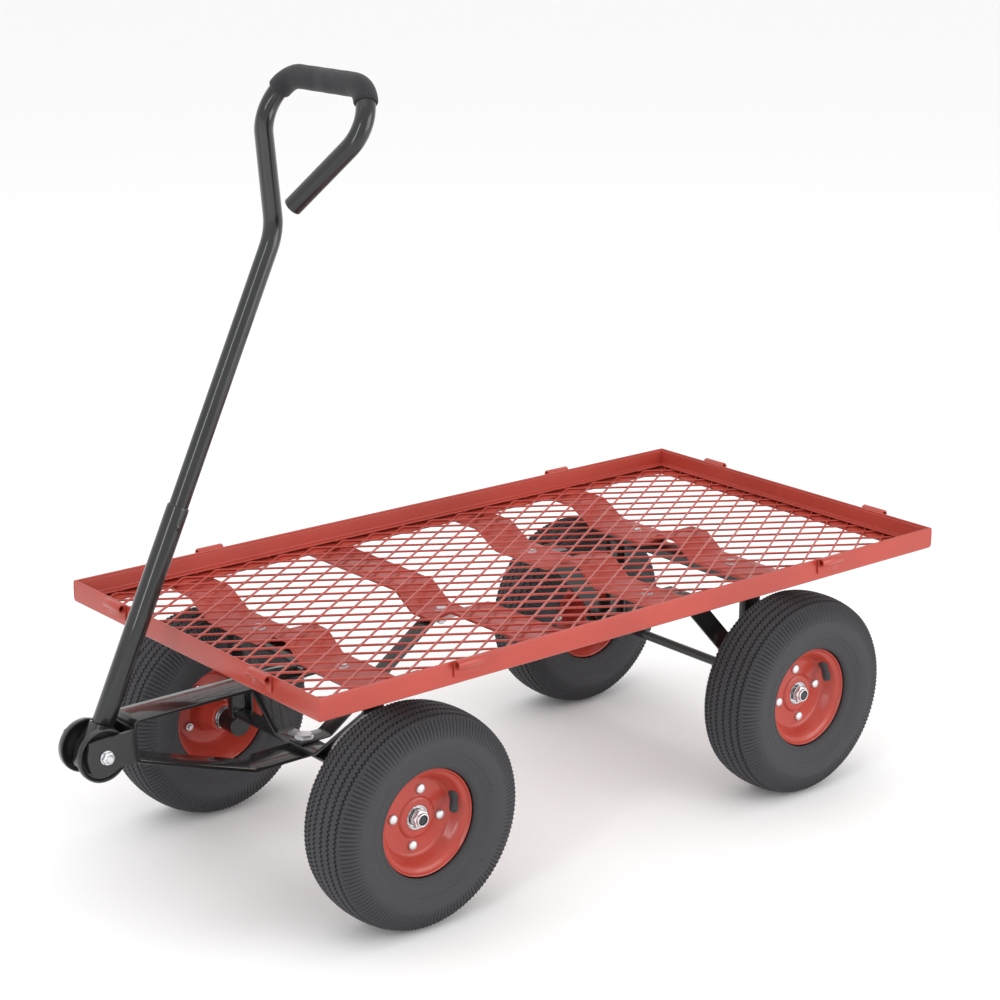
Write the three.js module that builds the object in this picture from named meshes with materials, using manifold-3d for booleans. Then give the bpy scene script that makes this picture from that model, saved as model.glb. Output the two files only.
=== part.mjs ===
// Garden cart: an open mesh deck on four pneumatic wheels, with a steered front axle and a pull handle.
// Millimetres, +Z up. The handle end is -Y, and +X is on the left of the person who pulls the cart.
import * as THREE from "three";
import { mergeVertices } from "three/addons/utils/BufferGeometryUtils.js";
import Module from "manifold-3d";

const wasm = await Module();
wasm.setup();

// Deck
const DECK_LENGTH = 970;
const DECK_WIDTH = 508;
const RIM_HEIGHT = 28;
const RIM_WALL = 3;
const RIM_FLANGE = 28;
const CLAMP_WALL = 2;
const CLAMP_FLANGE = 11;
const CLAMP_BELOW_RIM_TOP = 2;
const MESH_THICKNESS = 2.5;
const MESH_STRAND = 6;
const MESH_PITCH_X = 64;
const MESH_PITCH_Y = 97;

// Wheels and axles
const TYRE_RADIUS = 130;
const TYRE_WIDTH = 84;
const TYRE_WALL = 8;
const RIM_RADIUS = 66;
const RIM_HALF_WIDTH = 31;
const RIM_SHEET = 2.5;
const WHEEL_TRACK = 417;
const HUB_RADIUS = 19;
const HUB_INNER_REACH = 38;
const HUB_OUTER_REACH = 10.5;
const DISC_OFFSET = 5;
const AXLE_RADIUS = 6.2;
const AXLE_END_REACH = 21;
const AXLE_NUT_LENGTH = 7;
const AXLE_NUT_RADIUS = 10.5;
const WHEEL_END_GAP = 5;
const FRONT_AXLE_FROM_FRONT = 155.5;
const REAR_AXLE_FROM_REAR = 202;

// Cross straps under the deck
const TYRE_TO_RIM = 32;
const STRAP_WIDTH = 60;
const STRAP_THICKNESS = 4;
const STRAP_DIP = 20.7;
const STRAP_END_INSET = 16;
const STRAP_2_FROM_FRONT = 362;
const STRAP_3_FROM_REAR = 369;
const HUMP_HALF = 15;
const SLOPE_RUN = 30;
const END_SLOPE_RUN = 40;
const SINGLE_DIP_HALF = 20;
const SINGLE_SLOPE_RUN = 35;
const BOLT_FROM_DIP_MIDDLE = [-13.5, 0, 14.5, -6.5];

// Undercarriage
const BAR_THICKNESS = 4;
const PLATE_THICKNESS = 3.5;
const CHANNEL_SHEET = 3;
const CHANNEL_WIDTH = 30;
const CROSS_BAR_HEIGHT = 12.7;
const BRACE_WIDTH = 25;
const BOSS_RADIUS = 14;
const BOSS_LENGTH = 30;
const BEAM_ABOVE_AXLE = 15.7;
const POST_BELOW_AXLE = 14;
const BRACKET_HEIGHT = 50;
const BRACKET_FLANGE = 12;
const BRACKET_FROM_BOSS_END = 23.5;
const REAR_POST_FLANGE = 11.6;
const BOLSTER_FOOT_HALF = 40;
const BOLSTER_POST_LENGTH = 33;
const KINGPIN_RADIUS = 6;

// Drawbar and handle
const DRAWBAR_WIDTH = 44;
const DRAWBAR_BELOW_BAR = 8;
const DRAWBAR_NOSE_REACH = 86;
const DRAWBAR_NOSE_HEIGHT = 50;
const DRAWBAR_SLOPE_LENGTH = 158;
const CLEVIS_LENGTH = 62;
const CLEVIS_INNER_WIDTH = 48.6;
const CLEVIS_PLATE = 4;
const CHEEK_BOW = 2.5;
const PIVOT_FROM_NOSE = 40;
const PIVOT_BELOW_NOSE_TOP = 31.5;
const PIVOT_RADIUS = 5;
const DISC_RADIUS = 31;
const DISC_WIDTH = 8;
const HANDLE_LEAN = 25;
const SLEEVE_START = 30;
const SLEEVE_END = 285;
const SLEEVE_RADIUS = 12.7;
const TUBE_RADIUS = 11;
const TUBE_WALL = 1.5;
const TUBE_START = 200;
const LOOP_START = 606;
const LOOP_WIDEST = 732;
const LOOP_TOP = 782;
const LOOP_HALF_WIDTH = 98;
const LOOP_TOP_HALF_WIDTH = 74;
const LOOP_LEG_END = 637;
const LOOP_LEG_END_X = 18;
const GRIP_RADIUS = 13.9;
const GRIP_DROP = 18;

// Panel loops and fasteners
const LOOP_TUBE_RADIUS = 5.5;
const LOOP_TUBE_BORE = 3.5;
const PANEL_LOOP_LENGTH = 36;
const SIDE_LOOP_Y = 288;
const END_LOOP_X = 150;
const BOLT_RADIUS = 4;
const HEAD_RADIUS = 7.5;
const HEAD_HEIGHT = 5;
const NUT_HEIGHT = 6;

// A clearance between pieces that touch
const FIT_GAP = 0.3;

// Heights and places worked out from the sizes above
const axleHeight = TYRE_RADIUS;
const rimBottom = 2 * TYRE_RADIUS + TYRE_TO_RIM;
const rimTop = rimBottom + RIM_HEIGHT;
const strapTop = rimBottom - FIT_GAP;
const dipTop = strapTop - STRAP_DIP;
const barTop = dipTop - STRAP_THICKNESS - FIT_GAP;
const halfWidth = DECK_WIDTH / 2;
const halfLength = DECK_LENGTH / 2;
const frontAxleY = FRONT_AXLE_FROM_FRONT - halfLength;
const rearAxleY = halfLength - REAR_AXLE_FROM_REAR;
const strapY = [frontAxleY - 3.5, STRAP_2_FROM_FRONT - halfLength, halfLength - STRAP_3_FROM_REAR, rearAxleY + 2];
const halfTrack = WHEEL_TRACK / 2;
const hubInner = halfTrack - HUB_INNER_REACH;
const bossOuter = hubInner - WHEEL_END_GAP;
const bracketOuter = bossOuter - BRACKET_FROM_BOSS_END;
const rearPostOuter = bracketOuter - 7.5;
const axleEnd = halfTrack + AXLE_END_REACH;
const dipInner = HUMP_HALF + SLOPE_RUN;
const dipOuter = bracketOuter + 8;
const boltSpread = BOLT_FROM_DIP_MIDDLE.map((offset) => offset && (dipInner + dipOuter) / 2 + offset);
const beamBottom = axleHeight + BEAM_ABOVE_AXLE;
const beamTop = beamBottom + PLATE_THICKNESS;
const bolsterFootTop = beamTop + FIT_GAP + BAR_THICKNESS;
const braceFootTop = bolsterFootTop + FIT_GAP + PLATE_THICKNESS;
const drawbarLowTop = beamBottom - FIT_GAP;
const drawbarHighTop = barTop - CROSS_BAR_HEIGHT - DRAWBAR_BELOW_BAR;
const noseY = -halfLength - DRAWBAR_NOSE_REACH;
const pivotY = noseY - PIVOT_FROM_NOSE;
const pivotZ = drawbarHighTop - PIVOT_BELOW_NOSE_TOP;

const painted = (color) => new THREE.MeshStandardMaterial({ color, roughness: 0.38, metalness: 0 });
const MATERIALS = {
  red: painted(0xc6503f),
  black: painted(0x2a2a2b),
  tyre: new THREE.MeshStandardMaterial({ color: 0x1f1f20, roughness: 0.82, metalness: 0 }),
  foam: new THREE.MeshStandardMaterial({ color: 0x242425, roughness: 0.9, metalness: 0 }),
  zinc: new THREE.MeshStandardMaterial({ color: 0xb9bcc0, roughness: 0.32, metalness: 0.9 }),
};

// ---- Geometry tools ----

function toSolid(geometry) {
  const plain = geometry.clone();
  plain.deleteAttribute("normal");
  plain.deleteAttribute("uv");
  const merged = mergeVertices(plain, 1e-4);
  const vertProperties = merged.attributes.position.array;
  const triVerts = new Uint32Array(merged.index.array);
  return new wasm.Manifold(new wasm.Mesh({ numProp: 3, vertProperties, triVerts }));
}

function toGeometry(solid) {
  const mesh = solid.getMesh();
  const geometry = new THREE.BufferGeometry();
  geometry.setAttribute("position", new THREE.BufferAttribute(mesh.vertProperties, 3));
  geometry.setIndex(new THREE.BufferAttribute(mesh.triVerts, 1));
  geometry.computeVertexNormals();
  return geometry;
}

const join = (...geometries) => toGeometry(geometries.map(toSolid).reduce((all, next) => all.add(next)));
const cut = (body, ...tools) => toGeometry(tools.map(toSolid).reduce((rest, tool) => rest.subtract(tool), toSolid(body)));

function outline(points) {
  return new THREE.Shape(points.map(([a, b]) => new THREE.Vector2(a, b)));
}

// An outline drawn in (x, y), carried up from the first height to the second.
function extrudeUp(shape, low, high) {
  return new THREE.ExtrudeGeometry(shape, { depth: high - low, bevelEnabled: false }).translate(0, 0, low);
}

// An outline drawn in (y, z), carried along X.
function extrudeAcross(shape, low, high) {
  const turn = new THREE.Matrix4().makeBasis(
    new THREE.Vector3(0, 1, 0),
    new THREE.Vector3(0, 0, 1),
    new THREE.Vector3(1, 0, 0),
  );
  return extrudeUp(shape, low, high).applyMatrix4(turn);
}

// An outline drawn in (x, z), carried along Y.
function extrudeAlong(shape, low, high) {
  return extrudeUp(shape, -high, -low).rotateX(Math.PI / 2);
}

function box(x, y, z) {
  const size = [x, y, z].map(([low, high]) => high - low);
  const middle = [x, y, z].map(([low, high]) => (high + low) / 2);
  return new THREE.BoxGeometry(...size).translate(...middle);
}

function rod(start, end, radius, sides = 12) {
  const from = new THREE.Vector3(...start);
  const along = new THREE.Vector3(...end).sub(from);
  const turn = new THREE.Quaternion().setFromUnitVectors(new THREE.Vector3(0, 1, 0), along.clone().normalize());
  const geometry = new THREE.CylinderGeometry(radius, radius, along.length(), sides);
  const middle = from.addScaledVector(along, 0.5);
  return geometry.applyQuaternion(turn).translate(middle.x, middle.y, middle.z);
}

// A cutter that leaves the running gap all round a rod of the given radius.
function hole(start, end, radius, sides = 12) {
  return rod(start, end, (radius + FIT_GAP) / Math.cos(Math.PI / sides), sides);
}

const boltHole = (x, y) => hole([x, y, rimTop], [x, y, 0], BOLT_RADIUS);
const kingpinHole = () => hole([0, frontAxleY, rimTop], [0, frontAxleY, 0], KINGPIN_RADIUS);

// The outline of a flat bar bent along a line of points, with its thickness on the line's right.
function bentBar(points, thickness) {
  const line = points.map(([a, b]) => new THREE.Vector2(a, b));
  const last = line.length - 1;
  const rightOf = (i) => {
    const step = line[i + 1].clone().sub(line[i]).normalize();
    return new THREE.Vector2(step.y, -step.x);
  };
  const other = line.map((point, i) => {
    const before = rightOf(Math.max(i - 1, 0));
    const after = rightOf(Math.min(i, last - 1));
    const mitre = before.clone().add(after).normalize();
    return point.clone().addScaledVector(mitre, thickness / mitre.dot(before));
  });
  return new THREE.Shape([...line, ...other.reverse()]);
}

// A path through given stations, so that an extrusion's steps fall exactly on them.
class StationPath extends THREE.Curve {
  constructor(stations) {
    super();
    this.stations = stations;
  }
  getPoint(t) {
    const last = this.stations.length - 1;
    const index = Math.min(Math.floor(t * last), last - 1);
    return this.stations[index].clone().lerp(this.stations[index + 1], t * last - index);
  }
  getPointAt(u) {
    return this.getPoint(u);
  }
  getTangentAt(u) {
    const last = this.stations.length - 1;
    const index = Math.round(u * last);
    const before = this.stations[Math.max(index - 1, 0)];
    return this.stations[Math.min(index + 1, last)].clone().sub(before).normalize();
  }
}

// The corner points of a bent tube in (x, s), each rounded by its own radius.
function roundedLine(corners, radii, arcSteps) {
  const points = corners.map(([x, s]) => new THREE.Vector3(x, 0, s));
  return points.flatMap((corner, i) => {
    if (i === 0 || i === points.length - 1) return [corner];
    const back = points[i - 1].clone().sub(corner).normalize();
    const ahead = points[i + 1].clone().sub(corner).normalize();
    const half = back.angleTo(ahead) / 2;
    const centre = corner.clone().addScaledVector(back.clone().add(ahead).normalize(), radii[i] / Math.sin(half));
    const start = corner.clone().addScaledVector(back, radii[i] / Math.tan(half)).sub(centre);
    const end = corner.clone().addScaledVector(ahead, radii[i] / Math.tan(half)).sub(centre);
    const turn = start.angleTo(end);
    const axis = start.clone().cross(end).normalize();
    return Array.from({ length: arcSteps + 1 }, (_, step) =>
      start.clone().applyAxisAngle(axis, (turn * step) / arcSteps).add(centre),
    );
  });
}

function tube(stations, outer, inner, sides) {
  const section = new THREE.Shape();
  section.absarc(0, 0, outer, 0, 2 * Math.PI);
  if (inner) section.holes.push(new THREE.Path().absarc(0, 0, inner / Math.cos(Math.PI / sides), 0, 2 * Math.PI));
  const path = new StationPath(stations);
  return new THREE.ExtrudeGeometry(section, {
    steps: stations.length - 1,
    curveSegments: sides / 2,
    extrudePath: path,
    bevelEnabled: false,
  });
}

// A profile in (radius, x), turned about the X axis.
function turned(profile, sides) {
  const points = profile.map(([radius, x]) => new THREE.Vector2(radius, x));
  return new THREE.LatheGeometry(points, sides).rotateZ(-Math.PI / 2);
}

// ---- Scene graph ----

const cart = new THREE.Group();
const chassis = new THREE.Group();
const steering = new THREE.Group();
const handle = new THREE.Group();
cart.add(chassis, steering);
steering.add(handle);

function addPart(group, name, geometry, material) {
  const mesh = new THREE.Mesh(geometry, MATERIALS[material]);
  mesh.name = name;
  group.add(mesh);
  return mesh;
}

// ---- Deck ----

// An angle rail with mitred ends, along +Y at the +X side of a rectangle with the given half sizes.
function mitredRail(halfAcross, halfAlong) {
  const section = outline([
    [0, rimBottom],
    [RIM_FLANGE, rimBottom],
    [RIM_FLANGE, rimBottom + RIM_WALL],
    [RIM_WALL, rimBottom + RIM_WALL],
    [RIM_WALL, rimTop],
    [0, rimTop],
  ]);
  const geometry = extrudeAlong(section, -1, 1);
  const position = geometry.attributes.position;
  for (let i = 0; i < position.count; i++) {
    const inset = position.getX(i);
    position.setX(i, halfAcross - inset);
    position.setY(i, -position.getY(i) * (halfAlong - inset - FIT_GAP / 2));
  }
  // Both X and Y are mirrored above, so the faces still point out.
  return geometry;
}

function addRails() {
  const side = () => mitredRail(halfWidth, halfLength);
  const end = () => mitredRail(halfLength, halfWidth);
  addPart(chassis, "rail_left", side(), "red");
  addPart(chassis, "rail_right", side(), "red").rotation.z = Math.PI;
  addPart(chassis, "rail_front", end(), "red").rotation.z = -Math.PI / 2;
  addPart(chassis, "rail_rear", end(), "red").rotation.z = Math.PI / 2;
}

const meshBottom = rimBottom + RIM_WALL + FIT_GAP;
const clampBottom = meshBottom + MESH_THICKNESS + FIT_GAP;
const meshInset = RIM_WALL + FIT_GAP;

// The angle that holds the mesh's edge down: a section carried round the deck with mitred corners.
function addClampFrame() {
  const section = [
    [meshInset, clampBottom],
    [meshInset, rimTop - CLAMP_BELOW_RIM_TOP],
    [meshInset + CLAMP_WALL, rimTop - CLAMP_BELOW_RIM_TOP],
    [meshInset + CLAMP_WALL, clampBottom + CLAMP_WALL],
    [meshInset + CLAMP_FLANGE, clampBottom + CLAMP_WALL],
    [meshInset + CLAMP_FLANGE, clampBottom],
  ];
  const corners = [
    [1, 1],
    [-1, 1],
    [-1, -1],
    [1, -1],
  ];
  const positions = corners.flatMap(([sx, sy]) =>
    section.flatMap(([inset, z]) => [sx * (halfWidth - inset), sy * (halfLength - inset), z]),
  );
  const count = section.length;
  const faces = [];
  for (let corner = 0; corner < 4; corner++) {
    for (let i = 0; i < count; i++) {
      const a = corner * count + i;
      const b = corner * count + ((i + 1) % count);
      const c = ((corner + 1) % 4) * count + i;
      const d = ((corner + 1) % 4) * count + ((i + 1) % count);
      faces.push(a, c, b, b, c, d);
    }
  }
  const geometry = new THREE.BufferGeometry();
  geometry.setAttribute("position", new THREE.Float32BufferAttribute(positions, 3));
  geometry.setIndex(faces);
  geometry.computeVertexNormals();
  addPart(chassis, "mesh_clamp_frame", geometry, "red");
}

// One diamond opening of the expanded mesh.
function meshOpening(x, y) {
  const slant = Math.hypot(MESH_PITCH_X, MESH_PITCH_Y);
  const reachX = MESH_PITCH_X / 2 - (MESH_STRAND / 2) * (slant / MESH_PITCH_Y);
  const reachY = MESH_PITCH_Y / 2 - (MESH_STRAND / 2) * (slant / MESH_PITCH_X);
  return outline([
    [x + reachX, y],
    [x, y + reachY],
    [x - reachX, y],
    [x, y - reachY],
  ]);
}

function addDeckMesh() {
  const edgeX = halfWidth - meshInset;
  const edgeY = halfLength - meshInset;
  const low = meshBottom;
  const high = meshBottom + MESH_THICKNESS;
  const columns = Math.ceil(DECK_WIDTH / MESH_PITCH_X);
  const rows = Math.ceil(DECK_LENGTH / MESH_PITCH_Y);
  const diamonds = [];
  for (let i = -columns; i <= columns; i++) {
    for (let j = -rows; j <= rows; j++) {
      if ((i + j) % 2 === 0) diamonds.push(meshOpening((i * MESH_PITCH_X) / 2, (j * MESH_PITCH_Y) / 2));
    }
  }
  const inside = [edgeX - CLAMP_FLANGE, edgeY - CLAMP_FLANGE];
  const field = box([-inside[0], inside[0]], [-inside[1], inside[1]], [low - 1, high + 1]);
  const openings = toSolid(extrudeUp(diamonds, low - 1, high + 1)).intersect(toSolid(field));
  const sheet = box([-edgeX, edgeX], [-edgeY, edgeY], [low, high]);
  addPart(chassis, "deck_mesh", toGeometry(toSolid(sheet).subtract(openings)), "red");
}

// ---- Cross straps ----

function strapLine(half) {
  return [...half.map(([x, z]) => [-x, z]).reverse(), ...half];
}

function addStraps() {
  const end = halfWidth - STRAP_END_INSET;
  const doubleDip = strapLine([
    [HUMP_HALF, strapTop],
    [dipInner, dipTop],
    [dipOuter, dipTop],
    [dipOuter + END_SLOPE_RUN, strapTop],
    [end, strapTop],
  ]);
  const singleDip = strapLine([
    [SINGLE_DIP_HALF, dipTop],
    [SINGLE_DIP_HALF + SINGLE_SLOPE_RUN, strapTop],
    [end, strapTop],
  ]);
  strapY.forEach((y, i) => {
    const line = i === 1 ? singleDip : doubleDip;
    const strap = extrudeAlong(bentBar(line, STRAP_THICKNESS), y - STRAP_WIDTH / 2, y + STRAP_WIDTH / 2);
    addPart(chassis, `cross_strap_${i + 1}`, cut(strap, ...boltPlaces(i).map(([x]) => boltHole(x, y))), "red");
  });
}

function boltPlaces(strap) {
  const spread = boltSpread[strap];
  return spread ? [[spread, "left"], [-spread, "right"]] : [[0, "centre"]];
}

// A bolt with its nut: the head sits on top of a stack of plates, and the nut under it.
function hexBolt(x, y, top, bottom, radius, headRadius) {
  return join(
    rod([x, y, top + FIT_GAP], [x, y, top + FIT_GAP + HEAD_HEIGHT], headRadius, 6),
    rod([x, y, top + FIT_GAP + 1], [x, y, bottom - FIT_GAP - NUT_HEIGHT - 2], radius, 12),
    rod([x, y, bottom - FIT_GAP], [x, y, bottom - FIT_GAP - NUT_HEIGHT], headRadius, 6),
  );
}

function addStrapBolts() {
  strapY.forEach((y, i) => {
    boltPlaces(i).forEach(([x, side]) => {
      const bolt = hexBolt(x, y, dipTop, barTop - BAR_THICKNESS, BOLT_RADIUS, HEAD_RADIUS);
      addPart(chassis, `strap_bolt_${i + 1}_${side}`, bolt, "zinc");
    });
  });
}

// ---- Panel loops ----

// A rolled loop on the outside of a rail: a short tube along Y with a tail plate welded to the wall.
function panelLoop(wall) {
  const centreX = wall + FIT_GAP + LOOP_TUBE_RADIUS;
  const centreZ = rimTop - 3;
  const from = -PANEL_LOOP_LENGTH / 2;
  const to = PANEL_LOOP_LENGTH / 2;
  const tail = box([wall + FIT_GAP, wall + FIT_GAP + 2], [from, to], [rimBottom + 10, centreZ]);
  const barrel = rod([centreX, from, centreZ], [centreX, to, centreZ], LOOP_TUBE_RADIUS);
  return cut(join(barrel, tail), rod([centreX, from - 1, centreZ], [centreX, to + 1, centreZ], LOOP_TUBE_BORE, 10));
}

function addPanelLoops() {
  const places = [
    ["left_front", halfWidth, -SIDE_LOOP_Y, 0],
    ["left_rear", halfWidth, SIDE_LOOP_Y, 0],
    ["right_front", halfWidth, SIDE_LOOP_Y, Math.PI],
    ["right_rear", halfWidth, -SIDE_LOOP_Y, Math.PI],
    ["front_left", halfLength, END_LOOP_X, -Math.PI / 2],
    ["front_right", halfLength, -END_LOOP_X, -Math.PI / 2],
    ["rear_left", halfLength, -END_LOOP_X, Math.PI / 2],
    ["rear_right", halfLength, END_LOOP_X, Math.PI / 2],
  ];
  for (const [name, wall, offset, turn] of places) {
    const loop = addPart(chassis, `panel_loop_${name}`, panelLoop(wall).translate(0, offset, 0), "red");
    loop.rotation.z = turn;
  }
}

// ---- Front undercarriage that is bolted to the deck ----

function addFrontBolster() {
  const outer = bracketOuter - 2;
  const elbow = barTop - BOLSTER_POST_LENGTH;
  const footBottom = bolsterFootTop - BAR_THICKNESS;
  const ring = [
    [-outer, barTop],
    [outer, barTop],
    [outer, elbow],
    [BOLSTER_FOOT_HALF, footBottom],
    [-BOLSTER_FOOT_HALF, footBottom],
    [-outer, elbow],
  ];
  const frame = outline(ring);
  const loop = [ring[ring.length - 1], ...ring, ring[0]];
  const inside = bentBar(loop, BAR_THICKNESS).getPoints().slice(loop.length);
  frame.holes.push(new THREE.Path(inside.slice(1, -1)));
  const low = frontAxleY - CHANNEL_WIDTH / 2;
  const high = frontAxleY + CHANNEL_WIDTH / 2;
  const drilled = boltPlaces(0).map(([x]) => boltHole(x, strapY[0]));
  addPart(chassis, "front_bolster", cut(extrudeAlong(frame, low, high), ...drilled, kingpinHole()), "black");
}

function addCentreBrace() {
  const footEnd = strapY[1] + BRACE_WIDTH / 2 + 5;
  const line = [
    [footEnd, barTop],
    [strapY[1] - 18, barTop],
    [frontAxleY + 29.5, braceFootTop],
    [frontAxleY - BRACE_WIDTH / 2, braceFootTop],
  ];
  const bar = bentBar(line.reverse(), PLATE_THICKNESS);
  const brace = extrudeAcross(bar, -BRACE_WIDTH / 2, BRACE_WIDTH / 2);
  addPart(chassis, "centre_brace", cut(brace, boltHole(0, strapY[1]), kingpinHole()), "black");
}

function addKingpins() {
  const lower = hexBolt(0, frontAxleY, braceFootTop, drawbarLowTop - BAR_THICKNESS, KINGPIN_RADIUS, 10);
  const upper = hexBolt(0, frontAxleY, barTop, drawbarHighTop - BAR_THICKNESS, KINGPIN_RADIUS, 10);
  addPart(chassis, "kingpin_bolt", lower, "zinc");
  addPart(chassis, "upper_pivot_bolt", upper, "zinc");
}

// ---- Rear undercarriage ----

const postHalf = CHANNEL_WIDTH / 2 - 1;

// An upright channel with its web outside and its flanges turned in, on the +X side.
function channelPost(outer, y, half, flange, low, high) {
  const inner = outer - CHANNEL_SHEET;
  const section = outline([
    [outer, y - half],
    [outer, y + half],
    [outer - flange, y + half],
    [outer - flange, y + half - CHANNEL_SHEET],
    [inner, y + half - CHANNEL_SHEET],
    [inner, y - half + CHANNEL_SHEET],
    [outer - flange, y - half + CHANNEL_SHEET],
    [outer - flange, y - half],
  ]);
  return extrudeUp(section, low, high);
}

function addRearCrossBar() {
  const half = CHANNEL_WIDTH / 2;
  const low = barTop - CROSS_BAR_HEIGHT;
  const section = outline([
    [rearAxleY - half, barTop],
    [rearAxleY - half, low],
    [rearAxleY - half + CHANNEL_SHEET, low],
    [rearAxleY - half + CHANNEL_SHEET, barTop - BAR_THICKNESS],
    [rearAxleY + half - CHANNEL_SHEET, barTop - BAR_THICKNESS],
    [rearAxleY + half - CHANNEL_SHEET, low],
    [rearAxleY + half, low],
    [rearAxleY + half, barTop],
  ]);
  const drilled = boltPlaces(3).map(([x]) => boltHole(x, strapY[3]));
  const bar = extrudeAcross(section, -rearPostOuter, rearPostOuter);
  addPart(chassis, "rear_cross_bar", cut(bar, ...drilled), "black");
}

function addRearPosts() {
  const low = axleHeight - POST_BELOW_AXLE;
  const high = barTop - CROSS_BAR_HEIGHT - FIT_GAP;
  const axle = () => hole([0, rearAxleY, axleHeight], [halfTrack, rearAxleY, axleHeight], AXLE_RADIUS);
  const post = () => cut(channelPost(rearPostOuter, rearAxleY, postHalf, REAR_POST_FLANGE, low, high), axle());
  addPart(chassis, "rear_post_left", post(), "black");
  addPart(chassis, "rear_post_right", mirrored(post()), "black");
}

// The same shape on the other side of the cart, with its faces turned back outwards.
function mirrored(geometry) {
  const flipped = geometry.index ? geometry.toNonIndexed() : geometry.clone();
  flipped.scale(-1, 1, 1);
  const position = flipped.attributes.position.array;
  for (let i = 0; i < position.length; i += 9) {
    const second = position.slice(i + 3, i + 6);
    position.copyWithin(i + 3, i + 6, i + 9);
    position.set(second, i + 6);
  }
  flipped.computeVertexNormals();
  return flipped;
}

// A flat side bar from the axle up to strap 3, with its top foot turned in under the strap.
function rearBrace() {
  const inner = rearPostOuter + FIT_GAP;
  const outer = inner + BAR_THICKNESS;
  const half = BRACE_WIDTH / 2;
  const footY = strapY[2];
  const topY = footY + 42;
  const rise = new THREE.Vector2(topY - rearAxleY, barTop - axleHeight).normalize();
  const side = new THREE.Vector2(rise.y, -rise.x).multiplyScalar(half);
  const eye = new THREE.Shape();
  const start = side.angle();
  eye.absarc(rearAxleY, axleHeight, half, start - Math.PI, start, false);
  eye.lineTo(topY + side.x, barTop + side.y);
  eye.lineTo(topY - side.x, barTop + side.y + 2 * side.x);
  const bar = extrudeAcross(eye, inner, outer);
  const foot = box([boltSpread[2] - 14, outer], [footY - half, topY + 12], [barTop - BAR_THICKNESS, barTop]);
  const above = box([0, halfTrack], [footY - 100, rearAxleY], [barTop, rimTop]);
  const axle = hole([0, rearAxleY, axleHeight], [halfTrack, rearAxleY, axleHeight], AXLE_RADIUS);
  return cut(join(bar, foot), above, axle, boltHole(boltSpread[2], footY));
}

function addRearBraces() {
  addPart(chassis, "rear_brace_left", rearBrace(), "black");
  addPart(chassis, "rear_brace_right", mirrored(rearBrace()), "black");
}

function axleNut(x, y) {
  const start = x + FIT_GAP;
  const end = start + AXLE_NUT_LENGTH;
  const nut = rod([start, y, axleHeight], [end, y, axleHeight], AXLE_NUT_RADIUS, 6);
  return cut(nut, hole([start - 1, y, axleHeight], [end + 1, y, axleHeight], AXLE_RADIUS));
}

function addRearAxle() {
  const axle = rod([-axleEnd, rearAxleY, axleHeight], [axleEnd, rearAxleY, axleHeight], AXLE_RADIUS);
  addPart(chassis, "rear_axle", axle, "black");
  const nutStart = halfTrack + HUB_OUTER_REACH + 1;
  addPart(chassis, "rear_axle_nut_left", axleNut(nutStart, rearAxleY), "zinc");
  addPart(chassis, "rear_axle_nut_right", mirrored(axleNut(nutStart, rearAxleY)), "zinc");
}

// ---- Steered front axle ----

function addFrontAxle() {
  const half = CHANNEL_WIDTH / 2;
  const inner = bracketOuter - CHANNEL_SHEET - FIT_GAP;
  const beamHalf = half - CHANNEL_SHEET - FIT_GAP;
  const beam = box([-inner, inner], [frontAxleY - beamHalf, frontAxleY + beamHalf], [beamBottom, beamTop]);
  addPart(steering, "front_axle_beam", cut(beam, kingpinHole()), "black");

  const low = axleHeight + BOSS_RADIUS + FIT_GAP;
  const bracket = () => channelPost(bracketOuter, frontAxleY, half, BRACKET_FLANGE, low, low + BRACKET_HEIGHT);
  addPart(steering, "axle_bracket_left", bracket(), "black");
  addPart(steering, "axle_bracket_right", mirrored(bracket()), "black");

  const at = (x) => [x, frontAxleY, axleHeight];
  const stub = () =>
    join(
      rod(at(bossOuter - 1), at(axleEnd), AXLE_RADIUS),
      rod(at(bossOuter - BOSS_LENGTH), at(bossOuter), BOSS_RADIUS, 16),
    );
  addPart(steering, "stub_axle_left", stub(), "black");
  addPart(steering, "stub_axle_right", mirrored(stub()), "black");
  const nutStart = halfTrack + HUB_OUTER_REACH + 1;
  addPart(steering, "front_axle_nut_left", axleNut(nutStart, frontAxleY), "zinc");
  addPart(steering, "front_axle_nut_right", mirrored(axleNut(nutStart, frontAxleY)), "zinc");
}

// ---- Drawbar and clevis ----

function addDrawbar() {
  const back = frontAxleY + DRAWBAR_WIDTH / 2;
  const noseLow = drawbarHighTop - DRAWBAR_NOSE_HEIGHT;
  const line = [
    [back, drawbarLowTop - BAR_THICKNESS],
    [noseY + DRAWBAR_SLOPE_LENGTH, drawbarLowTop - BAR_THICKNESS],
    [noseY, noseLow],
    [noseY, drawbarHighTop],
    [back, drawbarHighTop],
  ];
  const bar = extrudeAcross(bentBar(line, BAR_THICKNESS), -DRAWBAR_WIDTH / 2, DRAWBAR_WIDTH / 2);
  addPart(steering, "drawbar", cut(bar, kingpinHole()), "black");
}

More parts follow.
